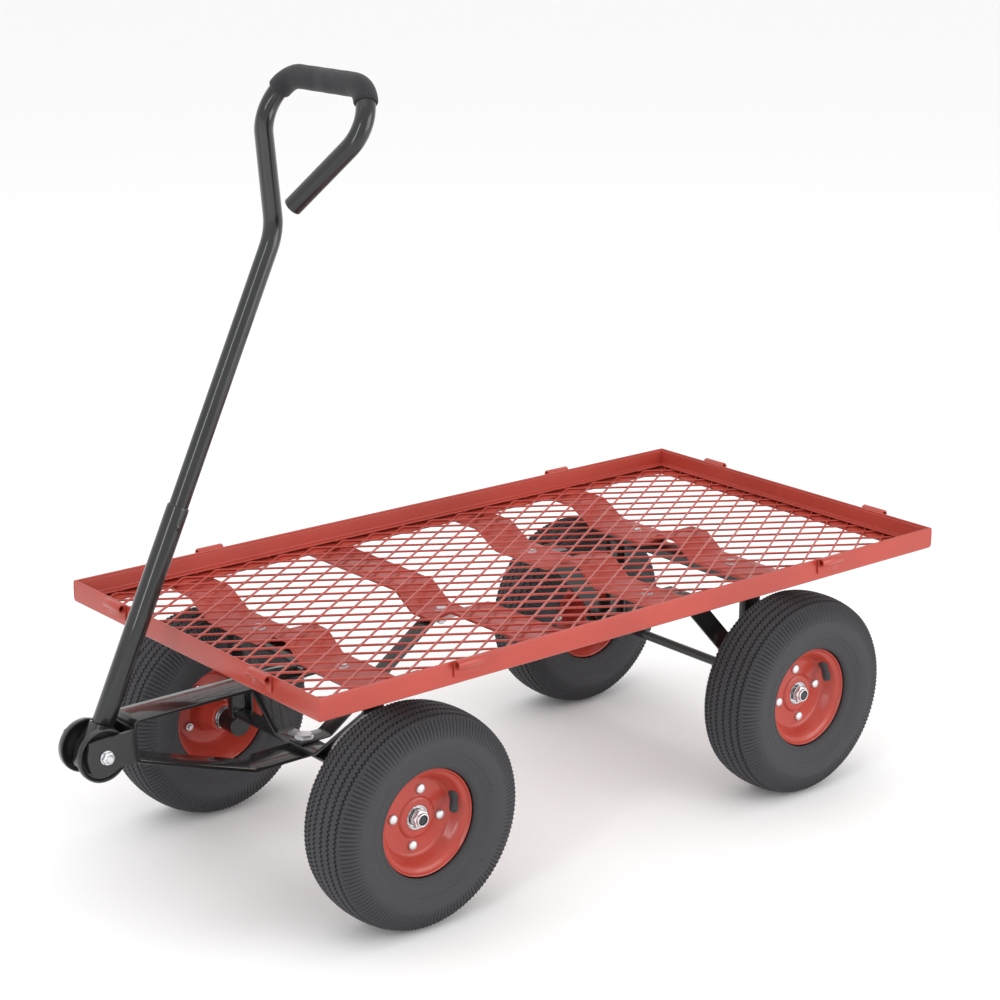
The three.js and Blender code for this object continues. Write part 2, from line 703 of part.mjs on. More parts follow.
// A U-shaped bracket on the drawbar's nose: two cheeks with bowed front edges, joined by a web.
function addClevis() {
  const webFront = noseY - FIT_GAP - CLEVIS_PLATE;
  const innerHalf = CLEVIS_INNER_WIDTH / 2;
  const outerHalf = innerHalf + CLEVIS_PLATE;
  const high = pivotZ + 23.5;
  const low = pivotZ - 16;
  const front = noseY - CLEVIS_LENGTH;
  const cheek = outline([
    [noseY - FIT_GAP, low],
    [noseY - FIT_GAP, high],
    [front + CHEEK_BOW, high - CHEEK_BOW],
    [front - CHEEK_BOW, pivotZ],
    [front + 2 * CHEEK_BOW, low - CHEEK_BOW],
    [front + CLEVIS_LENGTH / 2, low - 2 * CHEEK_BOW],
    [noseY - CLEVIS_LENGTH / 3, low],
  ]);
  const cheeks = [
    extrudeAcross(cheek, innerHalf, outerHalf),
    extrudeAcross(cheek, -outerHalf, -innerHalf),
  ];
  const web = box([-outerHalf, outerHalf], [webFront, noseY - FIT_GAP], [low, high]);
  const bore = hole([-outerHalf - 1, pivotY, pivotZ], [outerHalf + 1, pivotY, pivotZ], PIVOT_RADIUS);
  addPart(steering, "clevis_bracket", cut(join(web, ...cheeks), bore), "black");
}

// ---- Handle: built upright about its pivot, then leaned back over the deck ----

function addYoke() {
  const innerHalf = CLEVIS_INNER_WIDTH / 2 - FIT_GAP;
  const disc = (x) => rod([x, 0, 0], [x + DISC_WIDTH, 0, 0], DISC_RADIUS, 28);
  const core = rod([-innerHalf + 1, 0, 0], [innerHalf - 1, 0, 0], 14, 16);
  const web = box([-innerHalf + 1, innerHalf - 1], [-9, 9], [0, SLEEVE_START - 10]);
  const neck = rod([0, 0, 0], [0, 0, SLEEVE_START], SLEEVE_RADIUS - 0.5, 16);
  const peg = rod([0, 0, 0], [0, 0, SLEEVE_START + 30], SLEEVE_RADIUS - TUBE_WALL - FIT_GAP, 16);
  const body = join(disc(-innerHalf), disc(innerHalf - DISC_WIDTH), core, web, neck, peg);
  const bore = hole([-innerHalf - 1, 0, 0], [innerHalf + 1, 0, 0], PIVOT_RADIUS);
  addPart(handle, "handle_yoke", cut(body, bore), "black");
}

function addPivotBolt() {
  const outer = CLEVIS_INNER_WIDTH / 2 + CLEVIS_PLATE + FIT_GAP;
  const bolt = join(
    rod([-outer - 8, 0, 0], [outer + 8, 0, 0], PIVOT_RADIUS),
    rod([outer, 0, 0], [outer + 6, 0, 0], 8.5, 6),
    rod([-outer, 0, 0], [-outer - 6, 0, 0], 8.5, 6),
  );
  addPart(handle, "pivot_bolt", bolt, "zinc");
}

function addHandleTubes() {
  const sleeveStations = [SLEEVE_START + FIT_GAP, SLEEVE_END].map((s) => new THREE.Vector3(0, 0, s));
  const sleeve = tube(sleeveStations, SLEEVE_RADIUS, TUBE_RADIUS + FIT_GAP, 16);
  addPart(handle, "handle_sleeve", sleeve, "black");

  const corners = [
    [0, TUBE_START],
    [0, LOOP_START],
    [-LOOP_HALF_WIDTH, LOOP_WIDEST],
    [-LOOP_TOP_HALF_WIDTH, LOOP_TOP],
    [LOOP_TOP_HALF_WIDTH, LOOP_TOP],
    [LOOP_HALF_WIDTH, LOOP_WIDEST],
    [LOOP_LEG_END_X, LOOP_LEG_END],
  ];
  const stations = roundedLine(corners, [0, 60, 45, 38, 38, 45, 0], 5);
  addPart(handle, "handle_tube", tube(stations, TUBE_RADIUS, TUBE_RADIUS - TUBE_WALL, 12), "black");

  const onTop = stations.filter((point) => point.z > LOOP_TOP - GRIP_DROP);
  addPart(handle, "handle_grip", tube(onTop, GRIP_RADIUS, TUBE_RADIUS + FIT_GAP, 12), "foam");
}

// ---- Wheels ----

// An open casing with its beads turned in to the rim. The tread's flats, not its corners, are at the tyre's radius.
function tyreProfile(sides) {
  const half = TYRE_WIDTH / 2;
  const bead = RIM_RADIUS + FIT_GAP + 1;
  const grow = 1 / Math.cos(Math.PI / sides);
  const outer = [
    [bead, 0.74 * half],
    [0.66 * TYRE_RADIUS, 0.98 * half],
    [0.84 * TYRE_RADIUS, half],
    [0.96 * TYRE_RADIUS * grow, 0.76 * half],
    [TYRE_RADIUS * grow, 0.36 * half],
  ];
  const inner = [
    [bead, 0.74 * half - TYRE_WALL],
    [0.78 * TYRE_RADIUS, half - TYRE_WALL],
    [TYRE_RADIUS - 1.4 * TYRE_WALL, 0.4 * half],
  ];
  const flip = (points) => points.map(([radius, x]) => [radius, -x]);
  const section = [...outer, ...flip(outer).reverse(), ...flip(inner), ...inner.reverse()];
  return [...section, section[0]].reverse();
}

// Two pressed halves and their hub as one welded piece.
function rimProfile() {
  const rise = RIM_RADIUS - 6;
  const well = RIM_RADIUS - 17;
  const half = RIM_HALF_WIDTH;
  const sheet = RIM_SHEET;
  const bore = AXLE_RADIUS + 2 * FIT_GAP;
  const right = [
    [RIM_RADIUS, half],
    [RIM_RADIUS - sheet, half],
    [rise - sheet, half - 6],
    [well - sheet, DISC_OFFSET + sheet],
    [HUB_RADIUS + 5, DISC_OFFSET + sheet],
    [HUB_RADIUS, HUB_OUTER_REACH - 2],
    [HUB_RADIUS - 4, HUB_OUTER_REACH],
    [bore, HUB_OUTER_REACH],
  ];
  const left = [
    [bore, -HUB_INNER_REACH],
    [HUB_RADIUS - 4, -HUB_INNER_REACH],
    [HUB_RADIUS, -HUB_INNER_REACH + 8],
    [HUB_RADIUS + 5, DISC_OFFSET - sheet],
    [well - sheet, DISC_OFFSET - sheet],
    [rise - sheet, -half + 6],
    [RIM_RADIUS - sheet, -half],
    [RIM_RADIUS, -half],
  ];
  const back = [
    [rise, -half + 5],
    [well, DISC_OFFSET - 8],
    [well, DISC_OFFSET + 8],
    [rise, half - 5],
  ];
  const section = [...right, ...left, ...back];
  return [...section, section[0]];
}

function addWheel(name, side, y) {
  const wheel = new THREE.Group();
  const sides = 30;
  wheel.position.set(side * halfTrack, y, axleHeight);
  if (side < 0) wheel.rotation.z = Math.PI;
  const flatDown = new THREE.Euler(Math.PI / sides, 0, 0);
  const tyre = addPart(wheel, `${name}_tyre`, turned(tyreProfile(sides), sides), "tyre");
  tyre.rotation.copy(flatDown);
  addPart(wheel, `${name}_rim`, turned(rimProfile(), 20), "red");
  cart.add(wheel);
}

function addWheels() {
  addWheel("front_left_wheel", 1, frontAxleY);
  addWheel("front_right_wheel", -1, frontAxleY);
  addWheel("rear_left_wheel", 1, rearAxleY);
  addWheel("rear_right_wheel", -1, rearAxleY);
}

addRails();
addClampFrame();
addDeckMesh();
addStraps();
addStrapBolts();
addPanelLoops();
addFrontBolster();
addCentreBrace();
addKingpins();
addRearCrossBar();
addRearPosts();
addRearBraces();
addRearAxle();
addFrontAxle();
addDrawbar();
addClevis();
addYoke();
addPivotBolt();
addHandleTubes();
addWheels();

handle.position.set(0, pivotY, pivotZ);
handle.rotation.x = THREE.MathUtils.degToRad(-HANDLE_LEAN);

// The origin is on the ground, under the middle of the cart's whole length.
cart.updateMatrixWorld(true);
const bounds = new THREE.Box3().setFromObject(cart, true);
cart.position.y = -(bounds.min.y + bounds.max.y) / 2;

export default cart;
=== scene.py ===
"""A garden cart's finished look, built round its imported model.

It has its sizes and colours, one operator for each group of pieces, a stage and a sidebar panel.
"""
import math
import random

import bmesh
import bpy
from bpy.props import FloatProperty, FloatVectorProperty, IntProperty, PointerProperty
from mathutils import Matrix, Vector


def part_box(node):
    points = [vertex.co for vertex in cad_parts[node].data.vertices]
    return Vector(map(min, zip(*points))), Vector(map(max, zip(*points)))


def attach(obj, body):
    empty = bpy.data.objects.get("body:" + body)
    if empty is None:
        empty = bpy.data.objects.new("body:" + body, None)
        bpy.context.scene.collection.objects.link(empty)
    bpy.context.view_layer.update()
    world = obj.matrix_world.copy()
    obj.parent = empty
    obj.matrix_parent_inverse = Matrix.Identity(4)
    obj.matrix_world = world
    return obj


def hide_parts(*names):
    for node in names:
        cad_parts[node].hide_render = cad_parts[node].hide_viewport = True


bl_info = {
    "name": "Garden cart",
    "version": (1, 0, 0),
    "blender": (4, 5, 0),
    "location": "View3D > Sidebar > Garden cart",
    "description": "Builds a mesh-deck garden cart piece by piece",
    "category": "Object",
}

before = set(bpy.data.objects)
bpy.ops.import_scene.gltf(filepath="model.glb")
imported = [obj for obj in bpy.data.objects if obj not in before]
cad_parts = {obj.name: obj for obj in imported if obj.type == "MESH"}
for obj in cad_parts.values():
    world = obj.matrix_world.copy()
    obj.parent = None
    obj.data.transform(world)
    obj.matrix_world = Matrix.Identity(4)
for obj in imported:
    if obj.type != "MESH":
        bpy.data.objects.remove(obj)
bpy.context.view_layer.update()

MM = 0.001
X = Vector((1, 0, 0))
Y = Vector((0, 1, 0))
Z = Vector((0, 0, 1))
FULL_TURN = 2 * math.pi
SIDES = {"left": 1, "right": -1}
WHEELS = ("front_left", "front_right", "rear_left", "rear_right")
BODY_GAP = 0.2 * MM
RAIL_WALL = 3 * MM
RAIL_FLANGE = 28 * MM
CLAMP_WALL = 2 * MM
CLAMP_FLANGE = 11 * MM
BAR_THICKNESS = 4 * MM
STAY_THICKNESS = 3.5 * MM
CHANNEL_SHEET = 3 * MM
HEAD_ABOVE = 5.3 * MM
NUT_BELOW = 8.3 * MM
SEAM = 1.5 * MM
AXLE_RADIUS = 6.2 * MM
BOSS_RADIUS = 14 * MM
BOSS_END = 165.5 * MM
THREAD_START = 214 * MM
NUT_BORE = 6.3 * MM
PIN_RADIUS = 5 * MM
YOKE_HALF = 24 * MM
SLEEVE_START = 30.4 * MM
SLEEVE_END = 285 * MM
TUBE_RADIUS = 11 * MM
TUBE_BORE = 9.4 * MM
TUBE_START = 200 * MM
LOOP_FORK = 606 * MM
LOOP_WIDEST = 732 * MM
LOOP_TOP = 782 * MM
LOOP_HALF_WIDTH = 98 * MM
LOOP_TOP_HALF_WIDTH = 74 * MM
LEG_END = Vector((18, 637)) * MM
GRIP_DROP = 20 * MM
GRIP_RADIUS = 13.7 * MM
GRIP_BORE = 11.2 * MM
SPIN = {"front_left": -10, "front_right": 150, "rear_left": 8, "rear_right": 80}


# ---- Settings ----


def length(name, description, millimetres):
    return FloatProperty(name=name, description=description, default=millimetres * MM, min=0, unit="LENGTH")


def angle(name, description, degrees):
    return FloatProperty(name=name, description=description, default=math.radians(degrees), subtype="ANGLE")


def power(name, description, watts):
    return FloatProperty(name=name, description=description, default=watts, min=0, unit="POWER")


def colour(name, description, value):
    return FloatVectorProperty(
        name=name, description=description, default=value, min=0, max=1, size=3, subtype="COLOR"
    )


class CartSizes(bpy.types.PropertyGroup):
    """Sizes of the details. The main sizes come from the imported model."""

    mesh_pitch_across: length("Mesh pitch across", "One diamond's width, across the deck", 32)
    mesh_pitch_along: length("Mesh pitch along", "One diamond's length, along the deck", 48.5)
    mesh_strand: length("Mesh strand", "Width of the strands between the diamonds", 2.5)
    sheet_bend: length("Sheet bend", "Outer radius of the rails' folded edge", 4)
    strap_bend: length("Strap bend", "Radius of the bends in the cross straps", 14)
    tread_depth: length("Tread depth", "Depth of the grooves in the tread", 2.8)
    tread_swing: length("Tread swing", "Half the width of the grooves' zigzag", 1.9)
    notch_depth: length("Notch depth", "Depth of the notches between the shoulder's ribs", 3.0)
    tread_blocks: IntProperty(
        name="Tread blocks", description="Zigzag steps round a tyre", default=146, min=40, max=200
    )
    handle_lean: angle("Handle lean", "How far the handle stands back from upright", 25)


class CartColours(bpy.types.PropertyGroup):
    """Colours of the finishes."""

    red: colour("Red paint", "The deck's and the rims' paint", (0.385, 0.044, 0.028))
    black: colour("Black paint", "The handle's and the undercarriage's paint", (0.012, 0.0124, 0.013))
    rubber: colour("Tyre rubber", "The tyres", (0.034, 0.0345, 0.036))
    foam: colour("Grip foam", "The handle's grip", (0.020, 0.020, 0.022))
    zinc: colour("Zinc plate", "Bolts, nuts and washers", (0.60, 0.60, 0.61))


class StageSettings(bpy.types.PropertyGroup):
    """The camera, the floor and the light."""

    camera_place: FloatVectorProperty(
        name="Camera place",
        description="Where the camera stands",
        default=(2.15595, -1.74343, 1.21733),
        unit="LENGTH",
    )
    camera_turn: angle("Camera turn", "Turn round the upright", 50.36)
    camera_tilt: angle("Camera tilt", "Angle above the horizon", 16.38)
    camera_roll: angle("Camera roll", "Turn round the view line", 0.2)
    camera_lens: FloatProperty(
        name="Camera lens", description="Focal length, in millimetres", default=85.33, min=1
    )
    floor: colour("Floor", "The plain floor", (0.95, 0.95, 0.95))
    sky: FloatProperty(name="Sky", description="Strength of the light from all round", default=1.0, min=0)
    key: power("Key light", "The large soft light above", 26)
    strip: power("Strip light", "The narrow light in front", 30)
    side: power("Side light", "The broad light at the side", 55)


# ---- Shapes ----


class Shape:
    """Closed shells that are put together into one mesh."""

    def __init__(self):
        self.points = []
        self.faces = []

    def add(self, points, faces):
        start = len(self.points)
        self.points.extend(points)
        self.faces.extend(tuple(start + i for i in face) for face in faces)
        return self


def fillet(points, radius, steps=5, closed=False):
    """The points of a line or an outline with its corners turned into arcs."""
    line = [Vector(point) for point in points]
    count = len(line)
    radii = radius if isinstance(radius, (list, tuple)) else [radius] * count
    rounded = []
    for i, corner in enumerate(line):
        if radii[i] <= 0 or (not closed and i in (0, count - 1)):
            rounded.append(corner)
            continue
        back = line[i - 1] - corner
        ahead = line[(i + 1) % count] - corner
        room = 0.49 * min(back.length, ahead.length)
        back.normalize()
        ahead.normalize()
        half = back.angle(ahead) / 2
        if half > math.pi / 2 - 0.002:
            rounded.append(corner)
            continue
        reach = min(radii[i] / math.tan(half), room)
        arc = reach * math.tan(half)
        centre = corner + (back + ahead).normalized() * (arc / math.sin(half))
        start = corner + back * reach - centre
        end = corner + ahead * reach - centre
        sweep_angle = math.pi - 2 * half
        for step in range(steps + 1):
            t = step / steps
            first = math.sin((1 - t) * sweep_angle) / math.sin(sweep_angle)
            last = math.sin(t * sweep_angle) / math.sin(sweep_angle)
            rounded.append(centre + start * first + end * last)
    return rounded


def flat_bar(width, thickness, edge=0.7 * MM):
    """The section of a rolled flat bar."""
    w, t = width / 2, thickness / 2
    return fillet([(-w, -t), (w, -t), (w, t), (-w, t)], edge, 2, True)


def round_bar(radius, count=20):
    return [
        Vector((radius * math.cos(FULL_TURN * i / count), radius * math.sin(FULL_TURN * i / count)))
        for i in range(count)
    ]


def stations(points, side, closed=False):
    """For each point of a line: the point, the section's side and its mitred up direction."""
    line = [Vector(point) for point in points]
    count = len(line)
    steps = [(line[(i + 1) % count] - line[i]).normalized() for i in range(count)]
    if not closed:
        steps[-1] = steps[-2]
    found = []
    for i in range(count):
        before = steps[i - 1] if i or closed else steps[0]
        tangent = (before + steps[i]).normalized()
        up = tangent.cross(side).normalized()
        up /= max(up.dot(steps[i].cross(side).normalized()), 0.3)
        found.append((line[i], side, up))
    return found


def skin(rings, size, closed=True):
    """The faces between one ring of points and the next, all rings having the same size."""
    faces = []
    for k in range(rings if closed else rings - 1):
        near = k * size
        far = (k + 1) % rings * size
        for i in range(size):
            j = (i + 1) % size
            faces.append((near + i, near + j, far + j, far + i))
    return faces


def sweep(shape, places, section, closed=False):
    """A section carried from place to place. Open ends are capped."""
    count = len(section)
    points = [origin + side * a + up * b for origin, side, up in places for a, b in section]
    faces = skin(len(places), count, closed)
    if not closed:
        faces.append(tuple(range(count)))
        faces.append(tuple(range(len(points) - 1, len(points) - 1 - count, -1)))
    return shape.add(points, faces)


def bent_bar(shape, points, radius, side, section, steps=5):
    """A bar bent in one plane, with arcs at its corners."""
    return sweep(shape, stations(fillet(points, radius, steps), side), section)


def straight(shape, start, end, side, section):
    return sweep(shape, stations([start, end], side), section)


def cross_axes(axis):
    """The axis as a unit vector and the two directions square to it."""
    axis = Vector(axis).normalized()
    first = Z.copy() if abs(axis.z) < 0.5 else X.copy()
    first = (first - axis * first.dot(axis)).normalized()
    return axis, first, axis.cross(first)


def turned(shape, outline, centre, axis, count=32):
    """A closed outline of (radius, distance along the axis), turned round the axis."""
    axis, first, second = cross_axes(axis)
    points = []
    for k in range(count):
        angle = FULL_TURN * k / count
        out = first * math.cos(angle) + second * math.sin(angle)
        points.extend(centre + axis * along + out * radius for radius, along in outline)
    return shape.add(points, skin(count, len(outline)))


def lathe(shape, pairs, centre, axis, count=32):
    """The same, with the outline in millimetres."""
    return turned(shape, [(radius * MM, along * MM) for radius, along in pairs], centre, axis, count)


def disc(shape, centre, axis, radius, height, edge=0.5 * MM, hole=0.0, count=32):
    """A round plate or washer with softened edges, standing on its centre point."""
    outline = [(hole, 0), (radius - edge, 0), (radius, edge), (radius, height - edge)]
    outline += [(radius - edge, height), (hole, height)]
    return turned(shape, outline, Vector(centre), axis, count)


def hexagon(shape, centre, axis, flat, height, hole=0.0, turn=0.0, both=False):
    """A hexagon nut or bolt head with its corners chamfered. flat is half its size across flats."""
    axis, first, second = cross_axes(axis)
    count = 36
    points = []
    for k in range(count):
        angle = FULL_TURN * k / count
        out = first * math.cos(angle + turn) + second * math.sin(angle + turn)
        reach = flat / math.cos(angle % (math.pi / 3) - math.pi / 6)
        drop = (reach - flat) * 0.6
        low = drop if both else 0
        ring = [(hole, 0), (flat if both else reach, 0), (reach, low)]
        ring += [(reach, height - drop), (flat, height), (hole, height)]
        points.extend(centre + axis * along + out * radius for radius, along in ring)
    return shape.add(points, skin(count, len(ring)))


def threaded(shape, centre, axis, radius, height, pitch=1.5 * MM):
    """A rod's end with the ridges of its thread and a chamfered tip."""
    outline = [(0, 0), (radius * 0.9, 0)]
    ridges = max(int(height / pitch) - 1, 1)
    for i in range(ridges):
        outline += [(radius * 0.91, i * pitch), (radius, (i + 0.5) * pitch)]
    outline += [(radius * 0.91, ridges * pitch), (radius * 0.80, height), (0, height)]
    return turned(shape, outline, Vector(centre), axis, 24)


def bolt_through(node, flat, head, shank, washer, turn=0.3):
    """A hexagon bolt down through plates, with a washer under its head and a nut below."""
    low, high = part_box(node)
    x, y, _ = (low + high) / 2
    top, bottom = high.z - HEAD_ABOVE, low.z + NUT_BELOW
    sheet = 1.2 * MM
    shape = Shape()
    disc(shape, (x, y, top), Z, washer, sheet, 0.3 * MM)
    hexagon(shape, Vector((x, y, top + sheet)), Z, flat, head - sheet, turn=turn)
    disc(shape, (x, y, bottom), -Z, washer, sheet, 0.3 * MM)
    hexagon(shape, Vector((x, y, bottom - sheet)), -Z, flat, head, turn=turn + 0.2)
    threaded(shape, (x, y, bottom - sheet - head), -Z, shank, 2.6 * MM)
    disc(shape, (x, y, bottom), Z, shank, top - bottom)
    return shape


def weld(shape, start, end, radius, seed):
    """A hand-laid bead: a rod whose thickness rises and falls with each ripple."""
    dice = random.Random(seed)
    start, end = Vector(start), Vector(end)
    along = (end - start).normalized()
    side = along.orthogonal().normalized()
    count = max(int((end - start).length / (0.9 * MM)), 4)
    places = []
    for i in range(count + 1):
        t = i / count
        taper = min(1.0, 0.45 + 4 * t, 0.45 + 4 * (1 - t))
        thick = radius * taper * (0.86 + 0.2 * (i % 2) + 0.1 * dice.random())
        up = along.cross(side)
        places.append((start.lerp(end, t), side * thick, up * thick))
    return sweep(shape, places, round_bar(1.0, 10))


# ---- Pieces ----


def make_mesh(name, shape, sharp=35.0):
    mesh = bpy.data.meshes.new(name)
    mesh.from_pydata([tuple(point) for point in shape.points], [], shape.faces)
    work = bmesh.new()
    work.from_mesh(mesh)
    bmesh.ops.remove_doubles(work, verts=work.verts, dist=1e-6)
    bmesh.ops.dissolve_degenerate(work, edges=work.edges, dist=1e-7)
    bmesh.ops.recalc_face_normals(work, faces=work.faces)
    work.to_mesh(mesh)
    work.free()
    mesh.polygons.foreach_set("use_smooth", [True] * len(mesh.polygons))
    if sharp:
        mesh.set_sharp_from_angle(angle=math.radians(sharp))
    return mesh


def place(name, mesh, finish, body, stands_for=(), matrix=None):
    """An object from a mesh: finished, placed, riding on its body and standing for its model nodes."""
    made = bpy.data.objects.new(name, mesh)
    bpy.context.scene.collection.objects.link(made)
    if not mesh.materials:
        mesh.materials.append(bpy.data.materials[finish])
    if matrix is not None:
        made.matrix_world = matrix
    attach(made, body)
    if stands_for:
        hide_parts(*stands_for)
    return made


def piece(name, shape, finish, body, stands_for=(), sharp=35.0, edge=0.0):
    made = place(name, make_mesh(name, shape, 0 if edge else sharp), finish, body, stands_for)
    if edge:
        bevel = made.modifiers.new("Soft edges", "BEVEL")
        bevel.width = edge
        bevel.segments = 2
        bevel.limit_method = "ANGLE"
        bevel.angle_limit = math.radians(40)
        bevel.harden_normals = True
    return made


def middle(node):
    low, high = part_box(node)
    return (low + high) / 2


# ---- Finishes ----


class Field:
    """A value over a surface. An expression on it adds the Math nodes that work it out."""

    def __init__(self, finish, socket):
        self.finish = finish
        self.socket = socket

    def _math(self, operation, first, second):
        return self.finish.node("ShaderNodeMath", {"operation": operation}, {0: first, 1: second})

    def __add__(self, other):
        return self._math("ADD", self, other)

    def __radd__(self, other):
        return self._math("ADD", other, self)

    def __sub__(self, other):
        return self._math("SUBTRACT", self, other)

    def __rsub__(self, other):
        return self._math("SUBTRACT", other, self)

    def __mul__(self, other):
        return self._math("MULTIPLY", self, other)

    def __rmul__(self, other):
        return self._math("MULTIPLY", other, self)


class Finish:
    """One material: its nodes and its shader."""

    def __init__(self, name, constants):
        self.material = bpy.data.materials.new(name)
        self.material.use_nodes = True
        self.tree = self.material.node_tree
        self.shader = next(node for node in self.tree.nodes if node.type == "BSDF_PRINCIPLED")
        for socket, value in constants.items():
            self.shader.inputs[socket].default_value = value
        self.surface = self.node("ShaderNodeTexCoord", output="Object")

    def node(self, kind, settings=None, sockets=None, output=0):
        """Any node: its settings are set first, then its sockets' values or links."""
        made = self.tree.nodes.new(kind)
        for name, value in (settings or {}).items():
            if name == "stops":
                for stop, (position, shade) in zip(made.color_ramp.elements, value):
                    stop.position = position
                    stop.color = (shade, shade, shade, 1)
            else:
                setattr(made, name, value)
        for key, value in (sockets or {}).items():
            self.join(value, made.inputs[key])
        return Field(self, made.outputs[output])

    def join(self, value, socket):
        if isinstance(value, Field):
            self.tree.links.new(value.socket, socket)
        else:
            socket.default_value = value

    def feed(self, name, value):
        self.join(value, self.shader.inputs[name])

    def noise(self, scale, detail=2.0, roughness=0.5):
        sockets = {"Vector": self.surface, "Scale": scale, "Detail": detail, "Roughness": roughness}
        return self.node("ShaderNodeTexNoise", None, sockets)

    def cells(self, scale):
        sockets = {"Vector": self.surface, "Scale": scale}
        return self.node("ShaderNodeTexVoronoi", {"feature": "F1"}, sockets)

    def band(self, value, low, high):
        """0 below low, 1 above high, and a smooth rise between."""
        return self.node(
            "ShaderNodeMapRange",
            {"interpolation_type": "SMOOTHSTEP"},
            {"Value": value, "From Min": low, "From Max": high},
        )

    def blend(self, factor, first, second):
        """A mix of two colours."""
        sockets = {0: factor, 6: (*first, 1) if isinstance(first, tuple) else first}
        sockets[7] = (*second, 1) if isinstance(second, tuple) else second
        return self.node("ShaderNodeMix", {"data_type": "RGBA"}, sockets, output=2)

    def bump(self, height, depth, strength=1.0):
        sockets = {"Height": height, "Distance": depth, "Strength": strength}
        self.feed("Normal", self.node("ShaderNodeBump", None, sockets))


def shade(value, factor):
    return tuple(min(part * factor, 1.0) for part in value)


def finish_red(colours):
    """Powder coat: a slow drift of tone, a fine orange peel and a few dull specks of dust."""
    gloss = {"Specular IOR Level": 0.35, "Coat Roughness": 0.12, "Coat IOR": 1.5}
    finish = Finish("red_powder_coat", gloss)
    base = tuple(colours.red)
    drift = finish.band(finish.noise(7, 3), 0.35, 0.65)
    dust = finish.band(finish.noise(220, 2, 0.7), 0.62, 0.72)
    tone = finish.blend(drift, shade(base, 0.93), shade(base, 1.06))
    finish.feed("Base Color", finish.blend(dust * 0.16, tone, shade(base, 1.3)))
    finish.feed("Roughness", 0.3 + drift * 0.06 + dust * 0.14)
    finish.feed("Coat Weight", 0.24 - dust * 0.1)
    finish.bump(finish.noise(640, 2) * 0.7 + finish.noise(2300, 1) * 0.3, 0.00012, 0.5)


def finish_black(colours):
    """Stoved black enamel on drawn tube and flat bar, with faint draw lines under the gloss."""
    gloss = {"Specular IOR Level": 0.2, "Coat Roughness": 0.05, "Coat IOR": 1.45}
    finish = Finish("black_gloss_paint", gloss)
    base = tuple(colours.black)
    drift = finish.band(finish.noise(11, 3), 0.35, 0.65)
    dust = finish.band(finish.noise(260, 2, 0.7), 0.64, 0.74)
    tone = finish.blend(drift, shade(base, 0.86), shade(base, 1.15))
    finish.feed("Base Color", finish.blend(dust * 0.3, tone, shade(base, 2.2)))
    finish.feed("Roughness", 0.27 + drift * 0.07 + dust * 0.15)
    finish.feed("Coat Weight", 0.8 - dust * 0.3)
    finish.bump(finish.noise(520, 2) * 0.7 + finish.noise(1900, 1) * 0.3, 0.00012, 0.4)


def finish_rubber(colours):
    """Moulded tyre rubber: matt, a little chalky bloom, and the mould's fine texture."""
    finish = Finish("tyre_rubber", {"Specular IOR Level": 0.4})
    base = tuple(colours.rubber)
    drift = finish.band(finish.noise(14, 4, 0.6), 0.35, 0.7)
    bloom = finish.band(finish.noise(90, 3, 0.65), 0.5, 0.75)
    tone = finish.blend(drift, shade(base, 0.85), shade(base, 1.3))
    finish.feed("Base Color", finish.blend(bloom * 0.35, tone, shade(base, 2.0)))
    finish.feed("Roughness", 0.33 + drift * 0.1 + bloom * 0.12)
    finish.bump(finish.noise(900, 3) * 0.8 + finish.noise(160, 2) * 0.4, 0.0002, 0.5)


def finish_foam(colours):
    """Dense sleeve foam: open pores with painted shade in their pits, a soft sheen and handling marks."""
    finish = Finish("grip_foam", {"Specular IOR Level": 0.25, "Sheen Weight": 0.12, "Sheen Roughness": 0.5})
    base = tuple(colours.foam)
    pores = finish.cells(1500)
    handling = finish.band(finish.noise(26, 3), 0.4, 0.7)
    # Painted shade: the colour darkens towards each pore's centre, where the pits sink. The handling marks
    # lighten it as real wear.
    pore_shade_and_wear = pores * 0.7 + handling * 0.3
    finish.feed("Base Color", finish.blend(pore_shade_and_wear, shade(base, 0.7), shade(base, 1.7)))
    finish.feed("Roughness", 0.8 - handling * 0.12)
    finish.bump(pores * 0.7 + finish.noise(420, 3) * 0.5, 0.00035, 0.8)


def finish_zinc(colours):
    """Bright zinc plate: clouded, with fine scratches."""
    finish = Finish("zinc_plate", {"Metallic": 0.95})
    base = tuple(colours.zinc)
    cloud = finish.band(finish.noise(260, 3, 0.6), 0.35, 0.7)
    scratches = finish.noise(1700, 2)
    finish.feed("Base Color", finish.blend(cloud, shade(base, 0.72), shade(base, 1.12)))
    finish.feed("Roughness", 0.24 + cloud * 0.16)
    finish.bump(scratches, 0.00008, 0.4)


def finish_steel(colours):
    """A bearing's ground steel: darker, smoother and lightly oiled."""
    finish = Finish("bearing_steel", {"Metallic": 1.0})
    base = tuple(colours.zinc)
    oil = finish.band(finish.noise(300, 2), 0.4, 0.65)
    finish.feed("Base Color", finish.blend(oil, shade(base, 1.15), shade(base, 0.6)))
    finish.feed("Roughness", 0.18 + oil * 0.14)
    finish.bump(finish.noise(2100, 1), 0.00004, 0.3)


# ---- Deck ----


def angle_section(node):
    """The section of an angle rail as (inset, height), with its folded edge rounded."""
    sizes = bpy.context.scene.cart_sizes
    low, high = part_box(node)
    shelf = low.z + RAIL_WALL
    corners = [(0, low.z), (RAIL_FLANGE, low.z), (RAIL_FLANGE, shelf)]
    corners += [(RAIL_WALL, shelf), (RAIL_WALL, high.z), (0, high.z)]
    radii = [sizes.sheet_bend, 0.9 * MM, 0.9 * MM, 1.4 * MM, 1.1 * MM, 1.1 * MM]
    return fillet(corners, radii, 4, True)


